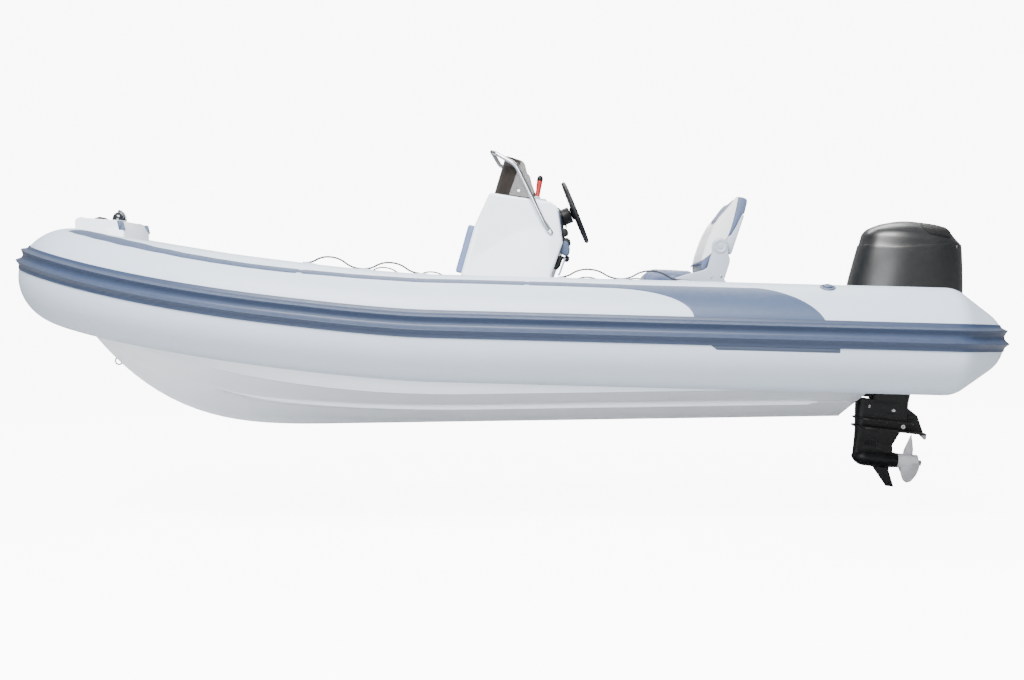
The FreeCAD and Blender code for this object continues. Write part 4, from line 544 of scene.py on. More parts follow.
def join(name, parts):
    """One piece from several, each part keeping its own finish."""
    points, faces, slots, smooth, sharp = [], [], [], [], set()
    materials = []
    for part in parts:
        first = len(points)
        points += [v.co.copy() for v in part.data.vertices]
        own = part.data.materials[0]
        if own not in materials:
            materials.append(own)
        for face in part.data.polygons:
            faces.append(tuple(first + v for v in face.vertices))
            slots.append(materials.index(own))
            smooth.append(face.use_smooth)
        for edge in part.data.edges:
            if edge.use_edge_sharp:
                sharp.add((first + edge.vertices[0], first + edge.vertices[1]))
        mesh = part.data
        bpy.data.objects.remove(part)
        bpy.data.meshes.remove(mesh)
    made = build(name, points, faces, materials[0])
    for material in materials[1:]:
        made.data.materials.append(material)
    for n, face in enumerate(made.data.polygons):
        face.material_index = slots[n]
        face.use_smooth = smooth[n]
    for edge in made.data.edges:
        a, b = edge.vertices
        edge.use_edge_sharp = (a, b) in sharp or (b, a) in sharp
    return made


def fit(piece, body, slot, *nodes):
    """The piece rides on a body and stands for these nodes of the model."""
    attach(piece, body)
    if nodes:
        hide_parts(*nodes)
    return piece


def at(x, y, z):
    """A point given in millimetres."""
    return Vector((x, y, z)) * MILLIMETRE


def between(table, x):
    """Value at x in rows of (x, value, ...), the ends held; several values come as a list."""
    if x <= table[0][0]:
        return list(table[0][1:])
    for first, last in zip(table, table[1:]):
        if x <= last[0]:
            share = (x - first[0]) / (last[0] - first[0])
            share = share * share * (3 - 2 * share)
            return [a + (b - a) * share for a, b in zip(first[1:], last[1:])]
    return list(table[-1][1:])


# Collar: the tube's centre line, its stern cones and what lies on it

TUBE = 288.0
SPREAD = 910.0
SHOULDER_X = -335.0
CONE_LENGTH = 345.0
CONE_NOSE = 190.0
CONE_SLOPE = math.radians(35.4)
BOW_START = 3000.0
BOW_REACH = 1648.0
SHEER_START = 2378.0
SHEER_REACH = 2270.0
SHEER_AFT, SHEER_SLOPE, SHEER_RISE, SHEER_POWER = 196.0, 0.0414, 242.0, 1.45


def sheer(x):
    """Height of the tube's centre."""
    share = max(0.0, (x - SHEER_START) / SHEER_REACH)
    return SHEER_AFT + SHEER_SLOPE * x + SHEER_RISE * share ** SHEER_POWER


def centre_line(x):
    """Centre of the port tube at a station along the boat."""
    share = min(1.0, max(0.0, (x - BOW_START) / BOW_REACH))
    return Vector((x, SPREAD * math.sqrt(1 - share * share), sheer(x)))


def tube_frame(turn, x=None):
    """Centre, outboard and upward directions; past the start of the bow, turn is its angle."""
    def spot(turn, x):
        if x is not None and turn <= 0:
            return Vector((x, SPREAD, sheer(x)))
        station = BOW_START + BOW_REACH * math.sin(turn)
        return Vector((station, SPREAD * math.cos(turn), sheer(station)))
    small = 0.002
    if x is not None and x < BOW_START:
        centre, heading = spot(0, x), (spot(0, x + 1) - spot(0, x - 1)).normalized()
        if x < SHEER_START:
            heading = Vector((1, 0, SHEER_SLOPE)).normalized()
    else:
        centre = spot(turn, None)
        heading = spot(min(turn + small, math.pi - small), None) - spot(turn - small, None)
        heading = heading.normalized() if turn < math.pi / 2 - small else Vector((0, -1, 0))
    out = UP.cross(heading).normalized()
    return centre, out, heading.cross(out), heading


def station_frame(x):
    """The tube's frame at a station, given along its centre line."""
    turn = math.asin(min(1.0, max(0.0, (x - BOW_START) / BOW_REACH)))
    return tube_frame(turn, x if x < BOW_START else None)


def tube_stations(first, last, pitch, lean):
    """Stations a pitch apart along the straight side, then some degrees apart round the bow."""
    found = []
    count = max(1, round((min(last, BOW_START) - first) / pitch))
    if first < BOW_START:
        found = [first + (min(last, BOW_START) - first) * n / count for n in range(count + 1)]
    if last > BOW_START:
        start = math.asin(max(0.0, (first - BOW_START) / BOW_REACH))
        stop = math.asin(min(1.0, (last - BOW_START) / BOW_REACH))
        steps = max(2, round(math.degrees(stop - start) / lean))
        arc = [BOW_START + BOW_REACH * math.sin(start + (stop - start) * n / steps) for n in range(steps + 1)]
        found += arc[1:] if found else arc
    return found


def cone_marks():
    """Where the stern cone leaves its round nose, its crest and how far it bends into the tube."""
    joint = Vector((CONE_NOSE - CONE_LENGTH - CONE_NOSE * math.sin(CONE_SLOPE), CONE_NOSE * math.cos(CONE_SLOPE)))
    crest = Vector((joint.x + (TUBE - joint.y) / math.tan(CONE_SLOPE), TUBE))
    return joint, crest, -crest.x * 0.6


def cone_profile():
    """Rows of (distance along, radius) over the stern cone, from its tip to its shoulder."""
    joint, crest, bend = cone_marks()
    low = crest - Vector((math.cos(CONE_SLOPE), math.sin(CONE_SLOPE))) * bend
    rows = [(CONE_NOSE - CONE_LENGTH - CONE_NOSE * math.sin(turn), CONE_NOSE * math.cos(turn))
            for turn in map(math.radians, (90, 86, 80, 73, 66, 58, 50, 42))]
    rows += [tuple(joint.lerp(low, share)) for share in (0, 0.25, 0.5, 0.75)]
    for share in (0, 0.2, 0.4, 0.6, 0.8, 1):
        rows.append(tuple(low * (1 - share) ** 2 + crest * 2 * share * (1 - share)
                          + (crest + Vector((bend, 0))) * share ** 2))
    return rows


def port_and_starboard(name, rings, material, crease, ends):
    """Skin through the millimetre rings of the port half, closed by one end face, and its starboard twin."""
    points = [p * MILLIMETRE for ring in rings for p in ring]
    faces = ring_faces(len(rings), len(rings[0])) + [ends]
    return tidy_mesh(build(name, *mirrored(points, faces), material), crease, 2e-5)


def make_collar():
    sides = 96
    centre, out, lift, heading = station_frame(SHOULDER_X)
    rings = [circle(centre + heading * along, out, lift, max(radius, 0.5), sides) for along, radius in cone_profile()]
    for x in tube_stations(SHOULDER_X + 40, BOW_START + BOW_REACH, 55, 1.6):
        middle, out, lift, heading = station_frame(x)
        rings.append(circle(middle, out, lift, TUBE, sides))
    tube = port_and_starboard("tube", rings, COLLAR_CLOTH, 60, tuple(reversed(range(sides))))
    fit(tube, "boat", "collar_fabric", "collar")


def on_collar(x, angle, reach=0.0):
    """Point on the port tube: station along its centre, degrees above level, millimetres proud."""
    centre, out, lift, _ = station_frame(x)
    turn = math.radians(angle)
    return (centre + (out * math.cos(turn) + lift * math.sin(turn)) * (TUBE + reach)) * MILLIMETRE


def welded_patch(name, stations, edges, material, proud, across):
    """Cloth or rubber welded on the tube between two edges; edges(x) gives its low and high angle."""
    outer, inner = [], []
    for x in stations:
        low, high = edges(x)
        for n in range(across + 1):
            angle = low + (high - low) * n / across
            near = n in (0, across) or x in (stations[0], stations[-1])
            outer.append(on_collar(x, angle, proud * (0.35 if near else 1.0)))
            inner.append(on_collar(x, angle, -1.5))
    points, faces = mirrored(outer + inner, two_sided(len(stations), across + 1))
    return fit(tidy_mesh(build(name, points, faces, material), 50), "boat", "collar_fabric")


STRIPE = ((1340, 55.1, 63.5), (1735, 56.2, 64.9), (2210, 56.6, 65.2), (2540, 56.0, 64.6), (2850, 54.2, 62.2),
          (3158, 51.8, 60.4), (3310, 51.9, 60.3), (3470, 52.8, 61.8), (3630, 54.5, 64.2), (3815, 57.8, 68.6),
          (4005, 61.4, 76.0), (4180, 66.0, 83.0), (4342, 70.6, 90.5), (4480, 75.5, 99.0))
PANEL_LOW, PANEL_HIGH = 18.8, 63.1
# each row: station at the strake, station at the top, rise in degrees, roundness
PANEL_FORE = (995, 1440, 36.5, 1.9)
PANEL_AFT = (322, 655, 44.3, 1.4)


def stripe_edges(x):
    return between(STRIPE, x)


def panel_edges(x):
    """Low and high angle of the broad panel: both ends sweep down aft in a curve, its middle meets the strake."""
    def sweep(foot, top, rise, power):
        share = min(1.0, max(0.0, (top - x) / (top - foot)))
        return PANEL_LOW + rise * (1 - share ** power) ** (1 / power)
    low = sweep(*PANEL_FORE) if x > PANEL_FORE[0] else PANEL_LOW
    high = sweep(*PANEL_AFT) if x < PANEL_AFT[1] else PANEL_HIGH
    return low, max(high, low + 0.2)


def make_collar_trim():
    welded_patch("side_stripe", tube_stations(1340, 4480, 70, 2.0), stripe_edges, TRIM_CLOTH, 1.2, 4)
    stations = sorted(set([foot + 26 * share ** 1.6 for foot in (322, 995) for share in (0, .1, .3, .6)]
                          + [348 + 23 * n for n in range(29)] + [1021 + 23 * n for n in range(19)]))
    welded_patch("side_panel", stations, panel_edges, TRIM_CLOTH, 1.3, 14)
    wear = [245 + 30 * n for n in range(22)] + [905]
    welded_patch("wear_patch", wear, lambda x: (-13.4 + 0.22 * max(0, x - 885), -8.2), WEAR_CLOTH, 2.2, 3)
    for n, x in enumerate((-60.0, 1840.0, 3040.0)):
        welded_patch(f"seam_tape_{n + 1}", [x, x + 10, x + 20, x + 30, x + 38], lambda x: (22.0, 205.0),
                     COLLAR_CLOTH, 0.9, 40)


# Rubbing strake

STRAKE_HALF = 72.5
STRAKE_THICK = 5.0
RIB_PROUD = 31.0
RIB_HALF = 26.5
RIB_PITCH = 31.0
RIB_SHARES = (0.06, 0.13, 0.22, 0.33, 0.46, 0.6, 0.74, 0.88, 1)
STRAKE_LIFT = 28.0
STRAKE_BOW_LIFT = 105.0
STRAKE_RISE_POWER = 3.4


def strake_outline():
    """Cross-section as (along the surface, height over it), from the low edge up and back underneath."""
    rows = [(-STRAKE_HALF, 0.6), (-STRAKE_HALF, 3.4), (-STRAKE_HALF + 1.6, STRAKE_THICK)]
    for side in (-1, 1):
        for share in [-share for share in reversed(RIB_SHARES)] + [0, *RIB_SHARES]:
            away = abs(share)
            rise = (1 - away) ** 1.55 if away > 0.06 else 0.945 - 0.045 * (away / 0.06) ** 2
            rows.append((side * RIB_PITCH + share * RIB_HALF, STRAKE_THICK + (RIB_PROUD - STRAKE_THICK) * rise))
    rows += [(STRAKE_HALF - 1.6, STRAKE_THICK), (STRAKE_HALF, 3.4), (STRAKE_HALF, 0.6)]
    return rows + [(STRAKE_HALF * (1 - n / 4), -0.8) for n in range(9)]


def strake_ring(middle, side, lift, bend, raised):
    """The section laid on a surface bent to this radius."""
    ring = []
    for along, rise in strake_outline():
        turn = (raised + along) / bend
        ring.append(middle + (side * math.cos(turn) + lift * math.sin(turn)) * (bend + rise))
    return ring


def make_strake():
    centre, out, _, heading = station_frame(SHOULDER_X)
    joint, crest, bend = cone_marks()
    marks = []
    for lean in (88.4, 84, 79, 74, 68, 62, 56, 50, 44, 39):
        turn = math.radians(lean)
        marks.append((CONE_NOSE - CONE_LENGTH - CONE_NOSE * math.sin(turn), CONE_NOSE * math.cos(turn), turn))
    for share in (0.05, 0.25, 0.5, 0.7):
        spot = joint.lerp(crest, share)
        marks.append((spot.x, spot.y, CONE_SLOPE))
    rounded_crest = bend / 4
    marks.append((crest.x + rounded_crest * (1 - math.cos(CONE_SLOPE)),
                  TUBE - rounded_crest * math.sin(CONE_SLOPE), CONE_SLOPE / 2))
    marks.append((crest.x + bend, TUBE, 0))
    rings = []
    for along, reach, turn in marks:
        side = out * math.cos(turn) - heading * math.sin(turn)
        run = out * math.sin(turn) + heading * math.cos(turn)
        middle = centre + heading * (along + reach * math.tan(turn))
        rings.append(strake_ring(middle, side, run.cross(side), reach / math.cos(turn), STRAKE_LIFT))
    for x in tube_stations(SHOULDER_X, BOW_START + BOW_REACH, 90, 1.8):
        share = max(0.0, (x - SHEER_START) / SHEER_REACH)
        middle, side, lift, heading = station_frame(x)
        rings.append(strake_ring(middle, side, lift, TUBE, STRAKE_LIFT + STRAKE_BOW_LIFT * share ** STRAKE_RISE_POWER))
    strake = port_and_starboard("rubbing_strake", rings, STRAKE_RUBBER, 40, tuple(range(len(rings[0]))))
    fit(strake, "boat", "strake_rubber", "rub_strake")


# Hull moulding

KEEL = -300.0
STEM_START, STEM_REACH, STEM_RISE, STEM_POWER = 3060.0, 1580.0, 665.0, 3.25
CHINE_HALF, CHINE_LOW, CHINE_RISE = 720.0, -73.0, 405.0
TAPER_START, LIFT_START, STEM_TIP, TAPER_POWER = 2000.0, 2200.0, 4640.0, 2.2
RAIL_IN, RAIL_WIDE, RAIL_DEEP = 345.0, 46.0, 16.0
CHINE_FLAT = 42.0
TRANSOM_RAKE, TRANSOM_TALL = 90.0, 510.0


def keel_height(x):
    return KEEL + STEM_RISE * max(0.0, (x - STEM_START) / STEM_REACH) ** STEM_POWER


def chine(x):
    """Half-beam and height of the chine."""
    taper = max(0.0, (x - TAPER_START) / (STEM_TIP - TAPER_START))
    lift = max(0.0, (x - LIFT_START) / (STEM_TIP - LIFT_START))
    return CHINE_HALF * max(0.01, 1 - taper ** TAPER_POWER), CHINE_LOW + CHINE_RISE * lift ** 2


def transom_face(z):
    """Station of the raked transom's outer face."""
    return -TRANSOM_RAKE * (z - KEEL) / TRANSOM_TALL


COCKPIT_HALF = 640.0
LINER_FLOOR = 62.0
BULKHEAD = 3195.0
FOREDECK_UNDER = 470.0


def hull_ring(x):
    """Half section from the keel out over the chine, up inside the tube and down the liner."""
    half, low = chine(x)
    keel = keel_height(x)
    flat = CHINE_FLAT * half / CHINE_HALF
    side = max(half + flat, centre_line(x).y * 0.94)
    top = sheer(x) - TUBE * 0.3
    rise = (low - keel) / half
    fade = min(1.0, max(0.0, (3720 - x) / 300)) * min(1.0, max(0.0, (x - 200) / 60))
    rail_in = RAIL_IN * half / CHINE_HALF
    rail_out = rail_in + min(RAIL_WIDE, 0.105 * half)
    deep = RAIL_DEEP * fade
    rows = [(0, keel), (half * 0.02, keel + rise * half * 0.006)]
    rows += [(rail_in * share, keel + rise * rail_in * share) for share in (0.12, 0.35, 0.65, 0.92, 1.0)]
    rows += [(rail_in + 2, keel + rise * (rail_in + 2) - 0.5 * deep)]
    rows += [(rail_out - 3, keel + rise * rail_out - deep), (rail_out, keel + rise * rail_out - deep * 0.85)]
    rows += [(rail_out + 1, keel + rise * (rail_out + 1))]
    rows += [(rail_out + (half - rail_out) * share, keel + rise * (rail_out + (half - rail_out) * share))
             for share in (0.1, 0.4, 0.7, 0.9, 0.985)]
    rows += [(half + 1, low - 2), (half + flat - 4, low - 2.5), (half + flat - 0.5, low - 1), (half + flat, low + 3)]
    rows += [(half + flat + (side - half - flat) * share, low + (top - low) * share) for share in (0.15, 0.5, 1.0)]
    floor = LINER_FLOOR if x < BULKHEAD else FOREDECK_UNDER
    wall = min(COCKPIT_HALF, side - 12)
    rows += [(wall + 6, top), (wall, top - 8)]
    deep_end = min(floor, top - 12)
    rows += [(wall, deep_end + (top - deep_end) * 0.5), (wall, deep_end + 14), (wall - 8, deep_end + 2)]
    rows += [(wall * 0.5, deep_end), (0, deep_end)]
    return rows


def make_hull():
    stations = [-118, 0, 150, 195, 230, 262, *range(300, 3001, 150), 3150, BULKHEAD - 1, BULKHEAD + 1, 3260, 3340,
                *range(3430, 3701, 90), *range(3780, 4181, 80), 4250, 4320, 4390, 4450, 4500, 4545, 4585, 4615, 4636]
    rings = []
    for x in stations:
        rows = hull_ring(x)
        full = rows + [(-y, z) for y, z in reversed(rows[1:-1])]
        rings.append([at(transom_face(z) if x == stations[0] else x, y, z) for y, z in full])
    hull = tidy_mesh(loft("hull_moulding", rings, GELCOAT), 28, 1e-6)
    fit(hull, "boat", "gelcoat_white", "hull")


# Finishes of the carried-over nodes

NODE_FINISHES = {
    GELCOAT_INNER: ("deck", "foredeck", "transom", "splash_well"),
    STAINLESS: ("bow_eye", "prop_nut"),
    ENGINE_CAST: ("lower_cowl", "midsection", "gearcase", "swivel_bracket", "steering_arm", "clamp_bracket"),
    CAST_STEEL: ("powerhead",), ZINC: ("trim_tab",), PROP_PAINT: ("propeller",),
}


def finish_nodes():
    """Finishes of the nodes that stay in view; the others get gelcoat and are replaced."""
    for name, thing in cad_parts.items():
        thing.data.materials.clear()
        thing.data.materials.append(next((finish for finish, names in NODE_FINISHES.items() if name in names), GELCOAT))


# Trees that repeat small parts

def node_tree(name, inputs):
    return group_tree("Geometry", name, [("Geometry", "Geometry", None)] + inputs, [("Geometry", "Geometry")])


def make_screw_tree():
    """Pan-head screw with a washer on every point, facing as the point says, each turned at random."""
    tree, given, out = node_tree("screws", [("Head Radius", "Float", 0.005), ("Head Height", "Float", 0.003),
                                            ("Seed", "Int", 7)])
    narrow = maths(tree, "MULTIPLY", given["Head Radius"], 0.72)
    head = step(tree, "GeometryNodeMeshCone", Vertices=20, Radius_Top=narrow,
                Radius_Bottom=given["Head Radius"], Depth=given["Head Height"])
    wide = maths(tree, "MULTIPLY", given["Head Radius"], 1.55)
    thin = maths(tree, "MULTIPLY", given["Head Height"], 0.5)
    washer = step(tree, "GeometryNodeMeshCylinder", Vertices=24, Radius=wide, Depth=thin)
    steel = step(tree, "GeometryNodeJoinGeometry")
    tree.links.new(head.outputs[0], steel.inputs[0])
    tree.links.new(washer.outputs[0], steel.inputs[0])
    bright = step(tree, "GeometryNodeSetMaterial", Geometry=steel.outputs[0], Material=STAINLESS)
    socket = maths(tree, "MULTIPLY", given["Head Radius"], 0.42)
    hexagon = step(tree, "GeometryNodeMeshCylinder", Vertices=6, Radius=socket,
                   Depth=given["Head Height"])
    rise = maths(tree, "MULTIPLY", given["Head Height"], 0.54)
    place = step(tree, "ShaderNodeCombineXYZ", Z=rise)
    moved = step(tree, "GeometryNodeTransform", Geometry=hexagon.outputs[0], Translation=place.outputs[0])
    dark = step(tree, "GeometryNodeSetMaterial", Geometry=moved.outputs[0], Material=BLACK_PLASTIC)
    whole = step(tree, "GeometryNodeJoinGeometry")
    tree.links.new(bright.outputs[0], whole.inputs[0])
    tree.links.new(dark.outputs[0], whole.inputs[0])
    facing = step(tree, "GeometryNodeInputNamedAttribute", {"data_type": "FLOAT_VECTOR"}, Name="facing")
    aim = step(tree, "FunctionNodeAlignRotationToVector", {"axis": "Z"}, Vector=facing.outputs[0])
    chance = step(tree, "FunctionNodeRandomValue", {"data_type": "FLOAT"}, Seed=given["Seed"])
    chance.inputs[3].default_value = math.tau
    turn = step(tree, "FunctionNodeAxisAngleToRotation", Axis=(0, 0, 1), Angle=chance.outputs[1])
    both = step(tree, "FunctionNodeRotateRotation", {"rotation_space": "LOCAL"}, Rotation=aim.outputs[0])
    tree.links.new(turn.outputs[0], both.inputs[1])
    points = step(tree, "GeometryNodeInstanceOnPoints", Points=given["Geometry"], Instance=whole.outputs[0],
                  Rotation=both.outputs[0])
    real = step(tree, "GeometryNodeRealizeInstances", Geometry=points.outputs[0])
    smooth = step(tree, "GeometryNodeSetShadeSmooth", Geometry=real.outputs[0], Shade_Smooth=False)
    tree.links.new(smooth.outputs[0], out["Geometry"])
    return tree


def make_stitch_tree():
    """Row of short stitches along every edge of a line."""
    tree, given, out = node_tree("stitches", [("Pitch", "Float", 0.008), ("Length", "Float", 0.005),
                                              ("Thickness", "Float", 0.0007)])
    line = step(tree, "GeometryNodeMeshToCurve", Mesh=given["Geometry"])
    spaced = step(tree, "GeometryNodeResampleCurve", {"mode": "LENGTH"}, Curve=line.outputs[0], Length=given["Pitch"])
    dots = step(tree, "GeometryNodeCurveToPoints", {"mode": "EVALUATED"}, Curve=spaced.outputs[0])
    stitch = step(tree, "GeometryNodeMeshCylinder", Vertices=6, Radius=given["Thickness"], Depth=given["Length"])
    rows = step(tree, "GeometryNodeInstanceOnPoints", Points=dots.outputs["Points"], Instance=stitch.outputs[0])
    aim = step(tree, "FunctionNodeAlignRotationToVector", {"axis": "Z"}, Vector=dots.outputs["Tangent"])
    tree.links.new(aim.outputs[0], rows.inputs["Rotation"])
    real = step(tree, "GeometryNodeRealizeInstances", Geometry=rows.outputs[0])
    sewn = step(tree, "GeometryNodeSetMaterial", Geometry=real.outputs[0], Material=THREAD)
    tree.links.new(sewn.outputs[0], out["Geometry"])
    return tree


def make_slat_tree():
    """Slat on every point, its long side as the point says."""
    tree, given, out = node_tree("slats", [("Length", "Float", 0.06), ("Width", "Float", 0.006),
                                           ("Depth", "Float", 0.004), ("Finish", "Material", BLACK_PLASTIC)])
    size = step(tree, "ShaderNodeCombineXYZ", X=given["Width"], Y=given["Depth"], Z=given["Length"])
    slat = step(tree, "GeometryNodeMeshCube", Size=size.outputs[0])
    along = step(tree, "GeometryNodeInputNamedAttribute", {"data_type": "FLOAT_VECTOR"}, Name="along")
    facing = step(tree, "GeometryNodeInputNamedAttribute", {"data_type": "FLOAT_VECTOR"}, Name="facing")
    first = step(tree, "FunctionNodeAlignRotationToVector", {"axis": "Z"}, Vector=along.outputs[0])
    aim = step(tree, "FunctionNodeAlignRotationToVector", {"axis": "Y", "pivot_axis": "Z"},
               Rotation=first.outputs[0], Vector=facing.outputs[0])
    rows = step(tree, "GeometryNodeInstanceOnPoints", Points=given["Geometry"], Instance=slat.outputs[0],
                Rotation=aim.outputs[0])
    real = step(tree, "GeometryNodeRealizeInstances", Geometry=rows.outputs[0])
    done = step(tree, "GeometryNodeSetMaterial", Geometry=real.outputs[0], Material=given["Finish"])
    tree.links.new(done.outputs[0], out["Geometry"])
    return tree


SCREW_TREE = make_screw_tree()
STITCH_TREE = make_stitch_tree()
SLAT_TREE = make_slat_tree()


def grown(name, tree, points, body, slot, edges=(), directions=None, **sizes):
    """Plain mesh that a geometry tree makes from points; directions name vectors on them."""
    mesh = bpy.data.meshes.new(name)
    mesh.from_pydata([tuple(p) for p in points], list(edges), [])
    for key, rows in (directions or {}).items():
        layer = mesh.attributes.new(key, "FLOAT_VECTOR", "POINT")
        for n, row in enumerate(rows):
            layer.data[n].vector = row
    made = bpy.data.objects.new(name, mesh)
    bpy.context.scene.collection.objects.link(made)
    modifier = made.modifiers.new("repeat", "NODES")
    modifier.node_group = tree
    for socket in tree.interface.items_tree:
        if socket.in_out == "INPUT" and socket.name in sizes:
            modifier[socket.identifier] = sizes[socket.name]
    settle(made)
    return fit(made, body, slot)


def screws(name, body, slot, spots, radius=0.0055, height=0.003, seed=7):
    """Screws at (place, outward direction) pairs."""
    return grown(name, SCREW_TREE, [spot for spot, out in spots], body, slot,
                 directions={"facing": [out for spot, out in spots]},
                 **{"Head Radius": radius, "Head Height": height, "Seed": seed})


def stitches(name, body, slot, lines):
    """Sewn rows along open lines of points."""
    points, edges = [], []
    for line in lines:
        first = len(points)
        points += line
        edges += [(first + n, first + n + 1) for n in range(len(line) - 1)]
    return grown(name, STITCH_TREE, points, body, slot, edges, Pitch=0.009, Length=0.0058, Thickness=0.0008)


def slats(name, body, slot, rows, length, width, depth, finish):
    """Slats at (place, long direction, outward direction), their edges rounded."""
    made = grown(name, SLAT_TREE, [row[0] for row in rows], body, slot,
                 directions={"along": [row[1] for row in rows], "facing": [row[2] for row in rows]},
                 Length=length, Width=width, Depth=depth, Finish=finish)
    return rounded(made, 0.28 * min(width, depth), 2)


def carved(piece, *tools):
    """Cuts the tools out of a piece."""
    for tool in tools:
        cut = piece.modifiers.new("cut", "BOOLEAN")
        cut.operation = "DIFFERENCE"
        cut.solver = "EXACT"
        cut.object = tool
        settle(piece)
        mesh = tool.data
        bpy.data.objects.remove(tool)
        bpy.data.meshes.remove(mesh)
    return tidy_mesh(piece, 40, 1e-6)


def smooth_line(spots, steps):
    """Curve through side-view points."""
    found = []
    for n in range(len(spots) - 1):
        p = [Vector(spots[min(max(n + k, 0), len(spots) - 1)]) for k in (-1, 0, 1, 2)]
        for m in range(steps):
            t = m / steps
            found.append(0.5 * (2 * p[1] + (p[2] - p[0]) * t + (2 * p[0] - 5 * p[1] + 4 * p[2] - p[3]) * t * t
                                + (3 * p[1] - p[0] - 3 * p[2] + p[3]) * t ** 3))
    return [tuple(p) for p in found] + [tuple(Vector(spots[-1]))]


def metres(outline):
    """An outline given in millimetres."""
    return [(a * MILLIMETRE, b * MILLIMETRE) for a, b in outline]


def cushion(piece, swell):
    """Blows a pad up with cloth simulation, holds how far it may swell and smooths it."""
    remesh = piece.modifiers.new("even", "REMESH")
    remesh.mode = "VOXEL"
    remesh.voxel_size = 0.006
    settle(piece)
    start = [v.co.copy() for v in piece.data.vertices]
    cloth = piece.modifiers.new("stuffing", "CLOTH")
    cloth.settings.use_pressure = True
    cloth.settings.uniform_pressure_force = 4.0
    cloth.settings.effector_weights.gravity = 0.0
    cloth.settings.quality = 4
    scene = bpy.context.scene
    for moment in range(1, 21):
        scene.frame_set(moment)
    settle(piece)
    scene.frame_set(1)
    for vertex, origin in zip(piece.data.vertices, start):
        moved = vertex.co - origin
        if moved.length > swell:
            vertex.co = origin + moved.normalized() * swell
    even = piece.modifiers.new("even", "SMOOTH")
    even.factor = 0.5
    even.iterations = 4
    finer = piece.modifiers.new("finer", "SUBSURF")
    finer.levels = finer.render_levels = 1
    settle(piece)
    tidy_mesh(piece, 80)
    return piece


# Console with its screen, rail, dash and helm

LATCH = [(0, 0), (19, 0), (20, 1.5), (17, 4), (8, 4.5), (8, 2), (0, 2)]
CONSOLE_SIDE = [(1762, 92), (1740, 589), (1671, 776), (1698, 985), (1741, 1016), (2096, 1075), (2187, 884),
                (2317, 450), (2750, 450), (2734, 92)]


DASH_START, DASH_LOW, DASH_SLOPE = 1741, 1016, 59 / 355


def dash_height(x):
    """Height of the console's sloping top."""
    return DASH_LOW + DASH_SLOPE * (x - DASH_START)


def make_console():
    shell = slab("console_shell", metres(CONSOLE_SIDE), -0.330, 0.330, GELCOAT, 0.016, 5)
    store = plate("store", rounded_rectangle(2.367, 2.675, -0.255, 0.255, 0.03), 0.115, 0.6, GELCOAT_INNER, 0.002, 1)
    fit(carved(shell, store), "boat", "gelcoat_white", "console")
    door = metres([(1749, 170), (1736, 560), (1726, 560), (1739, 170)])
    panel = slab("console_door", door, -0.19, 0.19, GELCOAT_INNER, 0.005, 3)
    fit(panel, "boat", "gelcoat_white")
    latch = turned("door_latch", LATCH, at(1737.5, 150, 365), (-1, 0, 0.03), STAINLESS, 28, 40)
    fit(latch, "boat", "stainless")
    rows = [(at(1742.5, -60 + 15 * n, 230), (0, 0, 1), (-1, 0, -0.04)) for n in range(9)]
    slats("console_vent", "boat", "black_plastic", rows, 0.055, 0.006, 0.006, BLACK_PLASTIC)
    hinge = [bar(f"hinge_{n}", [at(1741, -197, z - 26), at(1741, -197, z + 26)], 0.005, STAINLESS, 12)
             for n, z in enumerate((215, 365, 515))]
    fit(join("door_hinges", hinge), "boat", "stainless")


def make_seat_and_pad():
    """Front seat lid and the pad it leans on."""
    seat = plate("front_seat_cushion", rounded_rectangle(2.351, 2.716, -0.297, 0.297, 0.035), 0.456, 0.512,
                 BLUE_VINYL, 0.016, 4)
    cushion(seat, 0.009)
    fit(seat, "front_seat_lid", "upholstery", "front_seat")
    edge = rounded_rectangle(2.353, 2.713, -0.294, 0.294, 0.04)
    ring = [Vector((x, y, 0.4995)) for x, y in edge]
    piping = bar("front_seat_piping", ring + ring[:2], 0.0028, PALE_VINYL, 8, dome=False)
    fit(piping, "front_seat_lid", "upholstery_pale")
    seams = [[Vector((x, -0.285 + 0.57 * n / 24, 0.5225 - 0.004 * abs(n / 12 - 1) ** 3)) for n in range(25)]
             for x in (2.44, 2.532, 2.624)]
    stitches("front_seat_stitches", "front_seat_lid", "upholstery_pale", seams)
    foot, chest = Vector((2272, 0, 600)), Vector((2187, 0, 884))
    along = (chest - foot).normalized()
    out = Vector((along.z, 0, -along.x))
    corners = [foot + out * 1, foot + out * 40, chest + out * 40, chest + out * 1]
    pad = slab("back_pad", metres([(p.x, p.z) for p in corners]), -0.287, 0.287, SKY_VINYL, 0.006, 3)
    cushion(pad, 0.003)
    fit(pad, "boat", "upholstery", "console_back_pad")
    rows = []
    for share in (0.33, 0.66):
        spot = foot.lerp(chest, share) + out * 44.4
        rows.append([at(spot.x, -268 + 536 * n / 24, spot.z) for n in range(25)])
    stitches("back_pad_stitches", "boat", "upholstery_pale", rows)


SCREEN_EDGE = ((1832, 1034), (1837, 1094), (1857, 1141), (1875, 1194), (1884, 1236), (1899, 1258), (2007, 1300),
               (2064, 1322))


def screen_limit(x):
    """Height of the screen's trimmed edge in the side view."""
    for (x0, z0), (x1, z1) in zip(SCREEN_EDGE, SCREEN_EDGE[1:]):
        if x <= x1:
            return z0 + (z1 - z0) * max(0.0, x - x0) / (x1 - x0)
    return SCREEN_EDGE[-1][1]


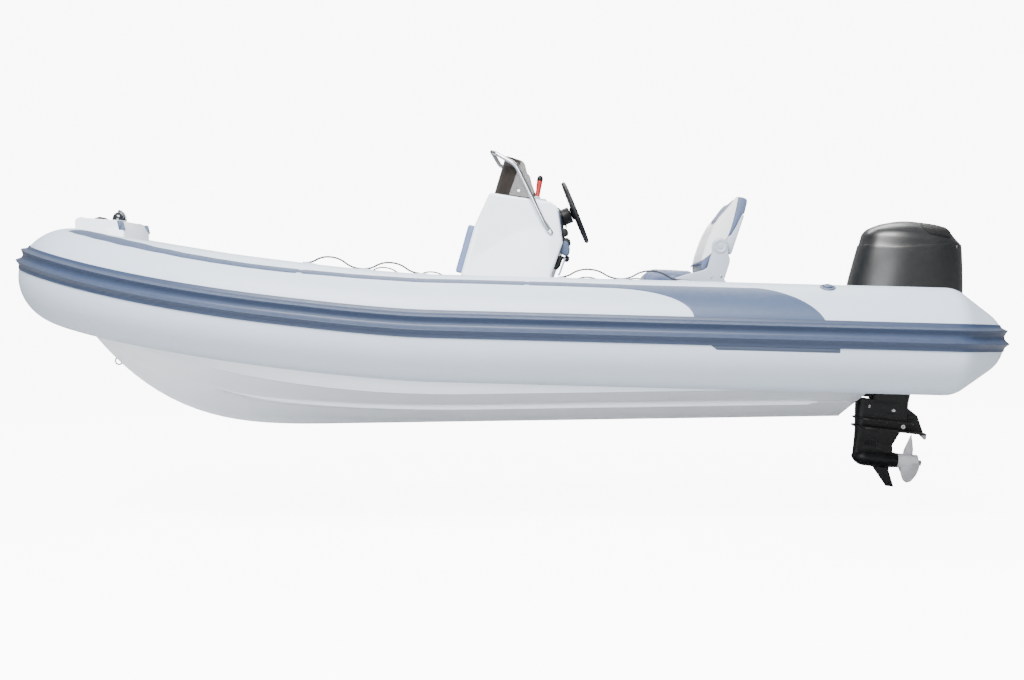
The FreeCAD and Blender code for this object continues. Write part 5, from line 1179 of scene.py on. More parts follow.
def make_screen():
    """Wrap-round sheet of smoked acrylic leaning aft, trimmed to its side outline."""
    half, corner, brow, thick = 314.0, 110.0, 2080.0, 6.0
    route = [(1838 + (brow - corner - 1838) * n / 14, half, 0, 1) for n in range(15)]
    for n in range(1, 13):
        turn = math.radians(90 - 90 * n / 12)
        route.append((brow - corner + corner * math.cos(turn), half - corner + corner * math.sin(turn),
                      math.cos(turn), math.sin(turn)))
    route += [(brow, (half - corner) * (1 - n / 8), 1, 0) for n in range(1, 9)]
    route += [(x, -y, nx, -ny) for x, y, nx, ny in reversed(route[:-1])]
    base, lean, tall = 1070.0, -73.0, 231.0
    rows = 13
    outer, inner = [], []
    for x, y, nx, ny in route:
        low = (dash_height(x) + 1.5 - base) / (tall - lean * DASH_SLOPE)
        high = 1.2
        while high > low + 0.01 and base + tall * high > screen_limit(x + lean * high):
            high -= 0.01
        for n in range(rows):
            h = low + (high - low) * n / (rows - 1)
            outer.append(at(x + lean * h, y, base + tall * h))
            inner.append(at(x - nx * thick + lean * h, y - ny * thick, base + tall * h))
    screen = build("windscreen_sheet", outer + inner, two_sided(len(route), rows), ACRYLIC)
    tidy_mesh(screen, 40, 1e-6)
    fit(screen, "boat", "smoked_screen", "windscreen")
    spots = [(at(1926, side * 314.6, 1084), (0, side, 0)) for side in (-1, 1)]
    spots += [(at(2073.5, y, 1094), Vector((231, 0, 73)).normalized()) for y in (-150, 0, 150)]
    screws("screen_screws", "boat", "stainless", spots, 0.005, 0.003, 3)
    seal = [at(x, y + ny * 1.0, dash_height(x) + 1.5) for x, y, nx, ny in route]
    fit(bar("screen_seal", seal, 0.0042, BLACK_PLASTIC, 8, 0.8), "boat", "black_plastic")


def make_rail():
    """Stainless rail over the screen, down past its ends to flattened feet on the console's sides."""
    side = [at(1757, 341, 853), at(1780, 350, 894), at(1812, 352, 962), at(1843, 352, 1032), at(1937, 352, 1232),
            at(2080, 350, 1315)]
    other = [Vector((p.x, -p.y, p.z)) for p in reversed(side)]
    path = bent(side + other, [0.3, 0.2, 0.5, 0.09, 0.055, 0.055, 0.09, 0.5, 0.2, 0.3], 10)
    rail = bar("grab_rail", path, 0.0125, STAINLESS, 24)
    feet, spots = [], []
    for n, way in enumerate((-1, 1)):
        start, stop = at(1741, way * 333, 832), at(1774, way * 338, 884)
        foot = bar(f"foot_{n}", [start + (stop - start) * k / 6 for k in range(7)], 0.0155, STAINLESS, 24)
        for vertex in foot.data.vertices:
            vertex.co.y = way * (0.3335 + (abs(vertex.co.y) - 0.3335) * 0.28)
        feet.append(foot)
        spots += [(at(x, way * 338.5, z), (0, way, 0)) for x, z in ((1749, 846), (1770, 878))]
    whole = join("grab_rail_with_feet", [rail] + feet)
    fit(whole, "boat", "stainless", "console_rail")
    screws("rail_screws", "boat", "stainless", spots, 0.0055, 0.0035, 5)
    clips = [bar("clip", [at(1960, way * 313, 1236), at(1972, way * 330, 1243), at(1990, way * 350, 1260)], 0.006,
                 STAINLESS, 12) for way in (1, -1)]
    fit(join("rail_clips", clips), "boat", "stainless")


WHEEL_CENTRE = at(1598, 0, 975)
WHEEL_AXIS = Vector((-187, 0, 73)).normalized()
WHEEL_TURN = UP.rotation_difference(WHEEL_AXIS)


def wheel_point(x, y, z):
    """A point given in millimetres in the wheel's own frame."""
    return WHEEL_CENTRE + WHEEL_TURN @ at(x, y, z)


def make_wheel():
    sides, rows = 16, 120
    rings = []
    for k in range(rows):
        turn = math.tau * k / rows
        bump = 1.1 * max(0.0, math.cos(turn * 30))
        ring = []
        for n in range(sides):
            lean = math.tau * n / sides
            radius = 13.2 + (bump if math.cos(lean) > -0.2 and math.sin(lean) < 0.5 else 0.0)
            ring.append(wheel_point((188 + radius * math.cos(lean)) * math.cos(turn),
                                    (188 + radius * math.cos(lean)) * math.sin(turn), radius * math.sin(lean)))
        rings.append(ring)
    faces = ring_faces(rows, sides)
    faces += [((rows - 1) * sides + n, (rows - 1) * sides + (n + 1) % sides, (n + 1) % sides, n) for n in range(sides)]
    rim = tidy_mesh(build("rim", [p for ring in rings for p in ring], faces, WHEEL_RUBBER), 60)
    parts = [rim]
    for n in range(3):
        turn = math.radians(60 + 120 * n)
        out, side = Vector((math.cos(turn), math.sin(turn), 0)), Vector((-math.sin(turn), math.cos(turn), 0))
        sections = []
        for reach, height, wide, thick in ((18, -10, 25, 8), (60, -11, 21, 6.5), (110, -9, 17, 5.5), (150, -5, 14, 5),
                                           (182, 0, 16, 6)):
            middle = out * reach
            ring = circle(middle + UP * height, side * wide, UP * thick, 1, 12)
            sections.append([wheel_point(*p) for p in ring])
        parts.append(tidy_mesh(loft(f"spoke_{n}", sections, BLACK_PLASTIC), 50))
    parts.append(turned("hub", [(0, -28), (30, -28), (36, -24), (44, -14), (46, -6), (44, -2), (40, 0), (32, 3),
                                (14, 5), (0, 5.5)], WHEEL_CENTRE, WHEEL_AXIS, BLACK_PLASTIC, 36))
    parts.append(turned("shaft", [(0, -58), (10, -58), (10, -33), (0, -33)], WHEEL_CENTRE, WHEEL_AXIS, STAINLESS, 20))
    fit(join("helm_wheel", parts), "wheel", "grip_black", "steering_wheel")


def make_dash():
    """Helm pump, instrument panel, gauges, switches, key and the engine control."""
    helm = turned("helm_pump", [(0, -138), (47, -138), (50, -134), (50, -37), (48, -32), (44, -29.5), (15, -29),
                                (12.2, -31), (12.2, -60), (0, -60)], WHEEL_CENTRE, WHEEL_AXIS, BLACK_PLASTIC, 40)
    bezel = turned("helm_bezel", [(51, -88), (66, -88), (68, -84), (66, -80), (54, -77), (50, -76), (50, -88)],
                   WHEEL_CENTRE, WHEEL_AXIS, BLACK_PLASTIC, 36)
    fit(join("helm_housing", [helm, bezel]), "boat", "black_plastic", "helm")
    knee, top = Vector((1671, 0, 776)), Vector((1698, 0, 985))
    along = (top - knee).normalized()
    out = Vector((-along.z, 0, along.x))

    def on_face(share, y, proud=0.0):
        spot = knee + along * (40 + share * 150) + out * (1 + proud)
        return at(spot.x, y, spot.z)

    rings = [[on_face(share, y, proud) for share, y in ((0, -250), (1, -250), (1, 250), (0, 250))]
             for proud in (0, 5.6)]
    panel = rounded(loft("instrument_panel", rings, GREY_PLASTIC), 0.002, 2)
    opening = turned("opening", [(0, -200), (57, -200), (57, 0), (0, 0)], WHEEL_CENTRE, WHEEL_AXIS, GREY_PLASTIC, 40)
    fit(carved(panel, opening), "boat", "panel_plastic", "dash_panel")
    parts = []
    for n, (y, share, radius) in enumerate(((-185, 0.62, 42), (-118, 0.8, 27), (185, 0.62, 42), (118, 0.8, 27))):
        spot = on_face(share, y, 6)
        parts.append(turned(f"bezel_{n}", [(0, 0), (radius, 0), (radius + 1, 2), (radius - 1, 6), (radius - 4, 7),
                                           (radius - 5, 4), (0, 4)], spot, out, BLACK_PLASTIC, 36))
        parts.append(turned(f"face_{n}", [(0, 3.8), (radius - 5, 3.8), (radius - 5, 4.6), (0, 4.8)], spot, out,
                            GAUGE_FACE, 36))
        needle = out.cross(Vector((0, 1, 0)))
        way = (needle * math.cos(0.8 + n) + Vector((0, 1, 0)) * math.sin(0.8 + n)) * (radius - 12) * MILLIMETRE
        base = spot + out * 0.0056
        parts.append(bar(f"needle_{n}", [base - way * 0.2, base + way], 0.0009, RED_GRIP, 6))
    fit(join("gauges", parts), "boat", "black_plastic")
    rockers = [(on_face(0.12, y, 6), along, out) for y in (-210, -184, -158, 158, 184, 210)]
    slats("switches", "boat", "black_plastic", rockers, 0.034, 0.017, 0.008, BLACK_PLASTIC)
    knee_out = Vector((-187, 0, -69)).normalized()
    fitting = [
        slab("key_box", metres([(1674, 864), (1650, 860), (1638, 842), (1641, 822), (1656, 816), (1674, 804)]),
             0.18, 0.27, BLACK_PLASTIC, 0.004, 2),
        slab("cluster", metres([(1670, 806), (1642, 806), (1626, 790), (1626, 766), (1646, 744), (1676, 768)]),
             0.185, 0.265, BLACK_PLASTIC, 0.005, 3),
        slab("grab", metres([(1664, 792), (1640, 780), (1630, 746), (1633, 712), (1650, 694), (1690, 716),
                             (1684, 752)]), 0.195, 0.272, GREY_PLASTIC, 0.009, 4),
        slab("foot_grip", metres([(1699, 700), (1672, 690), (1690, 640), (1706, 618), (1728, 622), (1726, 632)]),
             0.2, 0.256, BLACK_PLASTIC, 0.004, 2),
        slab("strap", metres([(1664, 692), (1654, 688), (1690, 590), (1699, 582), (1708, 586), (1700, 596)]),
             0.204, 0.252, PALE_PLASTIC, 0.003, 2),
        turned("pull_knob", [(0, -42), (8, -42), (8, -14), (16, -12), (20, -4), (19, 8), (12, 16), (0, 18)],
               at(1652, 226, 682), knee_out, BLACK_PLASTIC, 24),
    ]
    fit(join("dash_fittings", fitting), "boat", "black_plastic")
    x, y = 1829, -235
    low, high = dash_height(x - 75) + 1, dash_height(x + 75) + 1
    base = slab("control_base", metres([(x - 75, low), (x + 75, high), (x + 62, high + 22), (x + 40, high + 44),
                                        (x - 46, high + 38), (x - 66, low + 24)]), (y - 38) / 1000, (y + 38) / 1000,
                PALE_PLASTIC, 0.009, 4)
    foot, lean = at(x + 14, y, high + 23), (-28, 0, 168)
    lever = turned("lever", [(0, 0), (15, 0), (15.5, 22), (14.5, 50), (16.5, 92), (18.4, 126), (18, 137), (0, 137)],
                   foot, lean, RED_GRIP, 28)
    cap = turned("lever_cap", [(0, 134), (18.8, 134), (19.4, 139), (19, 150), (16, 160), (9, 167), (0, 169.5)],
                 foot, lean, BLACK_PLASTIC, 28)
    collar = turned("lever_boot", [(0, 0), (24, 0), (24, 12), (19, 18), (17, 24), (0, 25)],
                    at(x + 12, y, high + 34), lean, PALE_PLASTIC, 28)
    fit(join("throttle_control", [base, lever, cap, collar]), "boat", "black_plastic", "engine_control")


# Helm seat

BACK_FRONT = [(857, 634), (852, 660), (842, 700), (820, 764), (792, 830), (766, 878), (742, 912), (711, 955),
              (678, 998), (648, 1034)]


def make_helm_seat():
    base = slab("seat_box", metres([(761, 92), (1149, 92), (1168, 498), (741, 498)]), -0.245, 0.245, GELCOAT, 0.018, 4)
    fit(base, "boat", "gelcoat_white", "seat_base")
    door = slab("seat_door", metres([(1153, 170), (1164, 172), (1176, 440), (1165, 440)]), -0.19, 0.19,
                GELCOAT_INNER, 0.004, 3)
    fit(door, "boat", "gelcoat_white")
    latch = turned("seat_door_latch", LATCH, at(1170, 0, 400), (1, 0, -0.045), STAINLESS, 28)
    fit(latch, "boat", "stainless")
    seat = slab("seat_pad", metres([(899, 505), (1168, 505), (1195, 540), (1204, 562), (1184, 588), (1153, 606),
                                    (1060, 602), (899, 590)]), -0.276, 0.276, BLUE_VINYL, 0.012, 4)
    cushion(seat, 0.008)
    fit(seat, "boat", "upholstery", "seat_cushion")
    lip = smooth_line([(1150, 614), (1183, 602), (1208, 575), (1207, 552), (1186, 524)], 5)
    seams = [[at(x, y, z) for x, z in lip] for y in (-205, 205)]
    for x, z in ((1110, 612), (1010, 606), (930, 602)):
        seams.append([at(x, -262 + 524 * n / 24, z + 2.2 - 4.0 * abs(n / 12 - 1) ** 3) for n in range(25)])
    stitches("seat_stitches", "boat", "upholstery_pale", seams)

    inset = [(x - 5, z - 3) for x, z in BACK_FRONT]
    breast = inset[:6] + [(739, 905), (694, 862), (722, 800), (780, 715), (841, 640)]
    head = [(737, 911), (706, 952), (673, 995), (645, 1027), (630, 1020), (654, 960), (692, 868)]
    lower = slab("back_cushion", metres(breast), -0.272, 0.272, PALE_VINYL, 0.010, 4)
    cushion(lower, 0.005)
    fit(lower, "backrest", "upholstery_pale", "backrest_pad")
    upper = slab("back_head_cushion", metres(head), -0.272, 0.272, BLUE_VINYL, 0.010, 4)
    cushion(upper, 0.005)
    fit(upper, "backrest", "upholstery")
    white = smooth_line(BACK_FRONT[1:7], 3)
    white += smooth_line([(742, 912), (706, 952), (672, 992), (645, 1026), (634, 1030)], 3)[1:]
    white += smooth_line([(634, 1030), (646, 970), (664, 900), (684, 838), (703, 792), (736, 748), (794, 704),
                          (852, 660)], 3)[1:-1]
    wedge = metres([(857, 634), (855, 600), (834, 602), (792, 690), (796, 701), (850, 658)])
    faces = []
    for n, way in enumerate((-1, 1)):
        faces.append(slab(f"white_{n}", metres(white), *sorted((way * 0.262, way * 0.2825)), PALE_VINYL, 0.005, 3))
        ring = [at(x, way * 281, z) for x, z in white]
        faces.append(bar(f"piping_{n}", ring + ring[:2], 0.0026, PALE_VINYL, 8, dome=False))
    fit(join("back_side_panels", faces), "backrest", "upholstery_pale")
    fit(slab("back_wedge", wedge, -0.281, 0.281, BLUE_VINYL, 0.007, 3), "backrest", "upholstery")
    rows = [[at(x + 1.5, -230 + 460 * n / 24, z + 1) for n in range(25)] for x, z in ((842, 700), (792, 830))]
    rows += [[at(x + 1.5, y, z + 1) for x, z in smooth_line(BACK_FRONT, 3)] for y in (-232, 232)]
    stitches("back_stitches", "backrest", "upholstery_pale", rows)

    band = [(636, 1033), (606, 1029), (582, 1020), (577, 1006), (584, 976), (596, 930), (612, 925), (640, 868),
            (676, 808), (698, 796), (680, 850), (660, 910), (645, 968)]
    blue = slab("back_band", metres(band), -0.2815, 0.2815, BLUE_VINYL, 0.007, 3)
    shell_side = [(596, 922), (612, 926), (640, 868), (676, 808), (702, 796), (716, 740), (724, 706), (694, 696),
                  (676, 694)]
    pale = slab("back_shell", metres(shell_side), -0.279, 0.279, PALE_PLASTIC, 0.006, 3)
    core_back = slab("back_core", metres([(700, 800), (664, 905), (640, 1000), (622, 1020), (640, 960), (662, 870),
                                          (690, 785), (716, 735), (790, 690), (860, 650), (866, 640), (800, 664),
                                          (724, 706), (706, 740)]), -0.268, 0.268, GREY_PLASTIC, 0.003, 2)
    fit(join("backrest_casing", [blue, pale, core_back]), "backrest", "upholstery_pale", "backrest_shell")
    make_seat_arms()


ARM_SIDE = [(700, 520), (725, 541), (706, 596), (690, 644), (689, 664), (699, 700), (697, 735), (703, 760), (718, 780),
            (744, 790), (770, 783), (788, 764), (794, 738), (794, 704), (806, 672), (816, 640), (823, 615),
            (846, 602), (877, 593), (950, 577), (1017, 556), (1004, 549), (930, 540), (860, 512), (830, 470),
            (720, 470)]


def make_seat_arms():
    for way, node_name in ((1, "seat_arm_port"), (-1, "seat_arm_starboard")):
        arm = slab("arm", metres(ARM_SIDE), *sorted((way * 0.2885, way * 0.3105)), PALE_PLASTIC, 0.006, 4)
        hub = turned("hub", [(0, -8), (44, -8), (47, -4), (47, 3), (43, 7), (34, 9), (30, 7), (16, 7), (14, 10),
                             (0, 10.5)], at(745, way * 306, 740), (0, way, 0), PALE_PLASTIC, 36)
        pin = turned("pin", [(0, -46), (12, -46), (12, 2), (0, 2)], at(745, way * 300, 738), (0, way, 0),
                     STAINLESS, 20)
        bracket = slab("bracket", metres([(722, 392), (860, 392), (860, 434), (722, 434)]),
                       *sorted((way * 0.246, way * 0.2985)), PALE_PLASTIC, 0.004, 2)
        leg = slab("leg", metres([(722, 392), (858, 392), (858, 480), (722, 480)]),
                   *sorted((way * 0.2885, way * 0.3105)), PALE_PLASTIC, 0.004, 2)
        fit(join(f"{node_name}_moulding", [arm, hub, pin, bracket, leg]), "boat", "upholstery_pale", node_name)
        screws(f"{node_name}_screws", "boat", "stainless",
               [(at(x, way * 311.5, z), (0, way, 0)) for x, z in ((745, 560), (800, 560), (745, 420), (835, 420))],
               0.006, 0.0035, 11)


# What lies on the collar: hand lines, their patches and the valves

def rope_spot(x, height):
    """Control point of a hand line, 55 mm inboard of the tube's crest."""
    turn = 55.0 / TUBE
    out = Vector((0, -math.sin(turn), math.cos(turn)))
    return (Vector((x, SPREAD, sheer(x))) + out * (TUBE + 9 + height)) * MILLIMETRE


def hand_line(name, spots):
    """Stiff rope along a smooth line, standing up in two loops between its patches."""
    data = bpy.data.curves.new(name, "CURVE")
    data.dimensions = "3D"
    data.resolution_u = 10
    spline = data.splines.new("NURBS")
    spline.points.add(len(spots) - 1)
    for point, spot in zip(spline.points, spots):
        point.co = (*spot, 1.0)
    spline.order_u = 3
    spline.use_endpoint_u = True
    data.materials.append(ROPE)
    rope = bpy.data.objects.new(name, data)
    bpy.context.scene.collection.objects.link(rope)
    line = bpy.data.meshes.new_from_object(rope.evaluated_get(bpy.context.evaluated_depsgraph_get()))
    bpy.data.meshes.remove(line)
    data.bevel_depth = 0.005
    data.bevel_resolution = 3
    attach(rope, "boat")
    return rope


def make_hand_lines():
    aft = ((1027, 0), (1066, 0), (1139, 48), (1236, 48), (1309, 0), (1403, 0), (1477, 48), (1575, 48), (1649, 0),
           (1688, 0))
    fore = ((2439, 0), (2478, 0), (2547, 48), (2639, 48), (2708, 0), (2805, 0), (2872, 48), (2962, 48), (3029, 0),
            (3068, 0))
    for name, route in (("aft", aft), ("fore", fore)):
        port = [rope_spot(x, height) for x, height in route]
        rope = hand_line(f"hand_line_port_{name}", port)
        if name == "aft":
            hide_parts("grab_lines")
        hand_line(f"hand_line_starboard_{name}", [Vector((p.x, -p.y, p.z)) for p in port])


def make_patches():
    points, faces = [], []
    for x in (1027.4, 1356.0, 1687.6, 2439.4, 2756.5, 3067.6):
        first = len(points)
        for share, height in ((1.0, -1.0), (1.0, 1.5), (0.94, 4.0), (0.8, 6.0), (0.5, 7.6), (0.02, 8.0)):
            for n in range(32):
                turn = math.tau * n / 32
                points.append(on_collar(x + 46 * share * math.cos(turn),
                                        100.94 - math.degrees(30 * share * math.sin(turn) / TUBE), height))
        faces += ring_faces(6, 32, True, first)
        faces += [tuple(reversed(range(first, first + 32))), tuple(range(first + 160, first + 192))]
    points, faces = mirrored(points, faces)
    patches = tidy_mesh(build("hand_line_patches", points, faces, COLLAR_CLOTH), 50, 1e-6)
    fit(patches, "boat", "patch_rubber", "rope_patches")
    valves = []
    for way in (1, -1):
        spot, outer = on_collar(279, 70, -2), on_collar(279, 70, 0)
        spot, out = Vector((spot.x, way * spot.y, spot.z)), outer - spot
        out = Vector((out.x, way * out.y, out.z))
        valves.append(turned("valve", [(0, 0), (42, 0), (42.5, 4), (40, 7), (31, 9), (28, 6), (25, 6), (24, 14),
                                       (21, 16), (8, 16), (7, 13), (0, 13)], spot, out, GREY_PLASTIC, 40))
    fit(join("inflation_valves", valves), "boat", "valve_plastic", "valves")


# Bow, deck and stern fittings

LAMP_X, FAIRLEAD_X = 4407.0, 4512.0
STEP_UP = (-0.087, 0, 0.996)


def step_top(x):
    """Height of the bow step's sloping top."""
    return 955 + 22 * (x - 4324) / 251


def make_bow():
    """Boarding step over the bow with its lamp and fairlead."""
    moulding = slab("bow_step_moulding", metres([(4294, 504), (4294, 893), (4326, 955), (4575, 977), (4590, 960),
                                                 (4590, 760), (4420, 504)]), -0.200, 0.200, GELCOAT, 0.016, 5)
    fit(moulding, "boat", "gelcoat_white", "bow_step")
    grip = slab("bow_step_grip", metres([(4350, 956.5), (4352, 958.6), (4556, 976.6), (4558, 974.6)]), -0.15, 0.15,
                STEP_PAD, 0.001, 2)
    fit(grip, "boat", "step_grip")
    tabs = [slab("tab", metres([(4288, 896), (4300, 950), (4337, 953), (4325, 896)]),
                 *sorted((way * 0.19, way * 0.2018)), GREY_PLASTIC, 0.002, 2) for way in (1, -1)]
    fit(join("bow_step_tabs", tabs), "boat", "step_grip")
    foot = at(LAMP_X, 0, step_top(LAMP_X))
    lamp = [turned("lamp_foot", [(0, 0), (46, 0), (47, 4), (43, 8), (0, 8)], foot, STEP_UP, PALE_PLASTIC, 40),
            turned("lamp_dome", [(0, 8), (36, 8), (37, 20), (34, 34), (27, 46), (16, 55), (6, 58.5), (0, 59)], foot,
                   STEP_UP, LAMP_GLASS, 40)]
    arc = [at(LAMP_X - 44 * math.cos(turn), 0, step_top(LAMP_X) + 6 + 56 * math.sin(turn))
           for turn in (0.0, 0.3, 0.6, 0.9, 1.2, 1.5)]
    lamp.append(bar("lamp_guard", arc, 0.0065, STAINLESS, 12, 2.2))
    fit(join("bow_lamp", lamp), "boat", "lamp_dome", "bow_light")
    seat = at(FAIRLEAD_X, 0, step_top(FAIRLEAD_X))
    cheek = [plate("fairlead_foot", rounded_rectangle(seat.x - 0.029, seat.x + 0.029, -0.045, 0.045, 0.012),
                   seat.z - 0.001, seat.z + 0.006, BLACK_PLASTIC, 0.002, 2)]
    for way in (1, -1):
        path = [seat + at(-24, way * 36, 5), seat + at(-12, way * 24, 13), seat + at(6, way * 20, 15),
                seat + at(24, way * 30, 8)]
        cheek.append(bar(f"fairlead_horn_{way}", path, 0.006, BLACK_PLASTIC, 12))
    fit(join("bow_fairlead", cheek), "boat", "black_plastic", "fairlead")
    spots = [(at(x, way * 170, step_top(x) + 0.5), STEP_UP) for x in (4345, 4560) for way in (1, -1)]
    screws("bow_step_screws", "boat", "stainless", spots, 0.006, 0.003, 21)


def make_hatch():
    lid = plate("hatch_lid", rounded_rectangle(3.302, 3.958, -0.318, 0.318, 0.045), 0.5008, 0.5195, GELCOAT, 0.005, 4)
    pad = plate("hatch_grip", rounded_rectangle(3.335, 3.925, -0.285, 0.285, 0.03), 0.5185, 0.5212, GRIP_PAINT,
                0.001, 2)
    fit(join("bow_locker_hatch", [lid, pad]), "hatch", "gelcoat_white", "bow_hatch")
    latch = turned("hatch_latch", [(0, 0), (21, 0), (22, 1.5), (18, 3.6), (9, 4), (9, 1.5), (0, 1.5)], at(3322, 0, 519),
                   (0, 0, 1), STAINLESS, 32)
    fit(latch, "hatch", "stainless")
    spots = [(at(x, y, 519.6), (0, 0, 1)) for x in (3316, 3944) for y in (-290, -150, 150, 290)]
    screws("hatch_screws", "hatch", "stainless", spots, 0.0045, 0.002, 31)


def make_deck_fittings():
    """Non-skid panels on the sole, drains, and the transom's fittings."""
    panels = [plate(f"sole_{n}", rounded_rectangle(x0, x1, -half, half, 0.05), 0.0895, 0.0918, GRIP_PAINT, 0.0008, 1)
              for n, (x0, x1, half) in enumerate(((0.52, 0.72, 0.58), (1.22, 1.71, 0.58), (2.79, 3.14, 0.58)))]
    for n, way in enumerate((1, -1)):
        panels.append(plate(f"side_sole_{n}", rounded_rectangle(0.78, 2.70, *sorted((way * 0.375, way * 0.60)), 0.04),
                            0.0895, 0.0918, GRIP_PAINT, 0.0008, 1))
    fit(join("non_skid_panels", panels), "boat", "deck_grip")
    drains = [turned("drain", [(0, 0), (38, 0), (39, 2), (30, 4), (20, 3), (0, 3)], at(455, y, 89), (0, 0, 1),
                     STAINLESS, 32) for y in (-300, 300)]
    fit(join("sole_drains", drains), "boat", "stainless")
    bolts, spots = [], []
    for n, y in enumerate((-470, 470)):
        x = transom_face(60) - 2
        path = [at(x + 4, y - 25, 60), at(x - 26, y - 25, 60), at(x - 38, y - 14, 60), at(x - 38, y + 14, 60),
                at(x - 26, y + 25, 60), at(x + 4, y + 25, 60)]
        bolts.append(bar(f"u_bolt_{n}", bent(path, [0.01] * 4, 6), 0.005, STAINLESS, 12))
        spots += [(at(x - 1, y + side * 40, 60), (-1, 0, 0)) for side in (1, -1)]
        bolts.append(turned(f"bilge_drain_{n}", [(0, 0), (24, 0), (24, 5), (15, 7), (14, 12), (0, 12)],
                            at(transom_face(-70) - 1, y * 0.55, -70), (-1, 0, 0), STAINLESS, 28))
    fit(join("transom_rings", bolts), "boat", "stainless")
    screws("transom_screws", "boat", "stainless", spots, 0.006, 0.003, 41)


# Outboard

ENGINE = Matrix.Translation(at(-135, 0, 245)) @ Matrix.Rotation(math.radians(-7.4958), 4, "Y")
# each row: height, front, rear and half-width of the cowl
COWL = ((225, 97, -597, 205), (256, 95, -596, 205), (298, 90, -593, 205), (420, 71, -577, 203), (500, 58, -566, 196),
        (571, 43, -555, 182), (605, 16, -513, 165), (630, -30, -489, 143), (642, -56, -482, 130),
        (655, -97, -472, 108), (666, -135, -455, 86), (674, -172, -420, 60), (679, -206, -378, 40),
        (682, -286, -300, 6))
COWL_FOOT, COWL_BELT, COWL_TOP = 225, 500, 682
FRONT_POWER, REAR_POWER, SIDE_POWER = 2.4, 3.3, 2.7


def engine(x, y, z):
    """A point given in millimetres in the outboard's own upright frame."""
    return ENGINE @ at(x, y, z)


def cowl_point(level, turn, inset=0.0):
    """Point of the cowl at a level that climbs towards the rear, and an angle from straight ahead."""
    ahead, aside = math.cos(turn), math.sin(turn)
    reach = math.copysign(abs(ahead) ** (2 / (FRONT_POWER if ahead > 0 else REAR_POWER)), ahead)
    end = COWL_FOOT if level < COWL_BELT else COWL_TOP
    climb = (level - end) / (COWL_BELT - end)
    height = level
    for _ in range(3):
        front, rear, half = straight(COWL, height)
        x = (front + rear) / 2 + (front - rear) / 2 * reach
        height = level + 66 * climb * min(1.0, max(0.0, (-107 - x) / 366))
    half -= inset
    side = half * math.copysign(abs(aside) ** (2 / SIDE_POWER), aside)
    return Vector((x - inset * reach, side, height))


def straight(table, x):
    """Values at x in rows of (x, value, ...), on straight lines between them."""
    for first, last in zip(table, table[1:]):
        if x <= last[0]:
            share = max(0.0, (x - first[0]) / (last[0] - first[0]))
            return [a + (b - a) * share for a, b in zip(first[1:], last[1:])]
    return list(table[-1][1:])


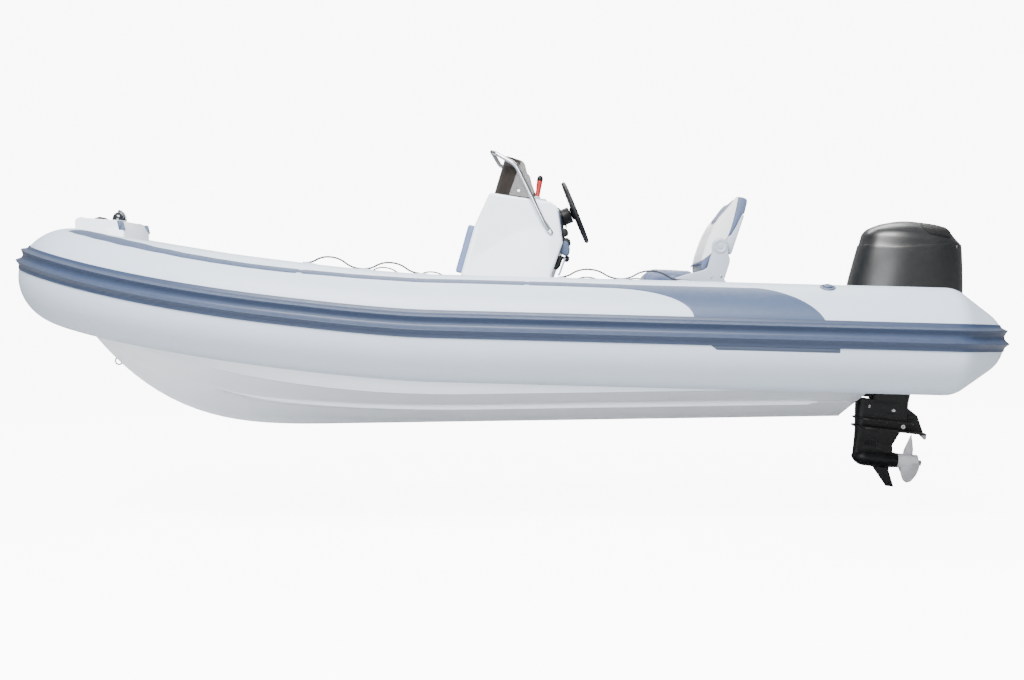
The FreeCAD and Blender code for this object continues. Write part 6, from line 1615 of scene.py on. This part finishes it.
def make_cowl():
    sides = 96
    levels = [(225, 14), (225, 2)] + [(z, 0) for z in (228, 240, 262, 300, 340, 380, 420, 460, 485, 497)]
    levels += [(500, 0.6), (501, 4.2), (506, 4.6), (525, 4), (545, 3), (560, 2), (575, 1)]
    levels += [(z, 0) for z in (588, 600, 612, 624, 634, 643, 651, 658, 664, 669, 673, 676, 679, 681, 682)]
    rings = [[engine(*cowl_point(level, math.tau * n / sides, inset)) for n in range(sides)]
             for level, inset in levels]
    cowl = tidy_mesh(loft("cowl_moulding", rings, ENGINE_SHELL), 42, 1e-6)
    fit(cowl, "outboard", "engine_shell", "cowl")
    parts = []
    for way in (1, -1):
        top, low = (-276, 655), (-318, 603)
        rows = []
        for row in range(7):
            share = row / 6
            start = Vector(top).lerp(Vector(low), share)
            stop = Vector((-474, 650)).lerp(Vector((-452, 596)), share)
            line = []
            for n in range(15):
                x, z = start.lerp(stop, n / 14)
                front, rear, half = straight(COWL, z)
                reach = (x - (front + rear) / 2) / ((front - rear) / 2)
                power = FRONT_POWER if reach > 0 else REAR_POWER
                side = half * max(0.0, 1 - abs(reach) ** power) ** (1 / SIDE_POWER)
                line.append((x, way * (side + 1.6), z + 1.2))
            rows.append(line)
        outer = [engine(*p) for line in rows for p in line]
        inner = [engine(x, y - way * 9, z - 6) for line in rows for x, y, z in line]
        parts.append(tidy_mesh(build(f"vent_{way}", outer + inner, two_sided(7, 15), BLACK_PLASTIC), 40, 1e-6))
    fit(join("cowl_vents", parts), "outboard", "engine_cast")
    ring = [engine(*cowl_point(COWL_FOOT, math.tau * n / 72, -1.5)) for n in range(72)]
    seam = bar("cowl_seam", ring + ring[:2], 0.0035, BLACK_PLASTIC, 8, dome=False)
    latch = rounded(loft("cowl_latch", [[engine(x, y, z) for y, z in ((-28, 190), (28, 190), (24, 236), (-24, 236))]
                                        for x in (-566, -604)], BLACK_PLASTIC), 0.006, 3)
    fit(join("cowl_fittings", [seam, latch]), "outboard", "engine_cast")


def make_leg():
    """Ridges, bolts, intake slots and plugs on the leg."""
    bars, spots = [], []
    for way in (1, -1):
        for z, front, rear, half in ((-440, -62, -345, 47), (-500, -62, -395, 44), (-525, -62, -410, 42)):
            line = [engine(front + (rear - front) * n / 8, way * (half * (1 - abs(n / 4 - 1) ** 4 * 0.55) + 1), z)
                    for n in range(9)]
            bars.append(bar(f"ridge_{way}_{z}", line, 0.004, ENGINE_CAST, 8))
        spots += [(engine(x, way * 47, z), (0, way, 0)) for x, z in ((-110, -470), (-260, -478), (-330, -575))]
        spots += [(engine(x, way * 74, z), (0, way, 0)) for x, z in ((-150, -60), (-330, -80))]
    fit(join("leg_ridges", bars), "outboard", "engine_cast")
    screws("leg_bolts", "outboard", "stainless", spots, 0.008, 0.006, 51)
    rows = [(engine(-118 - 13 * n, way * (37 - 0.4 * n), -690), (0, 0, 1), (0, way, 0)) for n in range(6)
            for way in (1, -1)]
    slats("water_intake", "outboard", "engine_cast", rows, 0.046, 0.006, 0.008, BLACK_PLASTIC)
    spots = [(engine(-68, way * 30, z), (0, way, 0)) for way in (1, -1) for z in (-40, -200, -320)]
    screws("swivel_bolts", "swivel", "stainless", spots, 0.009, 0.006, 61)
    spots = [(at(-135 + x, way * 112.5, z), (0, way, 0)) for way in (1, -1)
             for x, z in ((40, 210), (54, 130), (62, 20), (66, -50), (0, 245))]
    screws("clamp_bolts", "boat", "stainless", spots, 0.010, 0.007, 71)


make_camera()
make_hand_lines()
make_studio()
finish_nodes()
make_console()
make_seat_and_pad()
make_screen()
make_rail()
make_wheel()
make_dash()
make_helm_seat()
make_collar()
make_collar_trim()
make_strake()
make_hull()
make_patches()
make_bow()
make_hatch()
make_deck_fittings()
make_cowl()
make_leg()
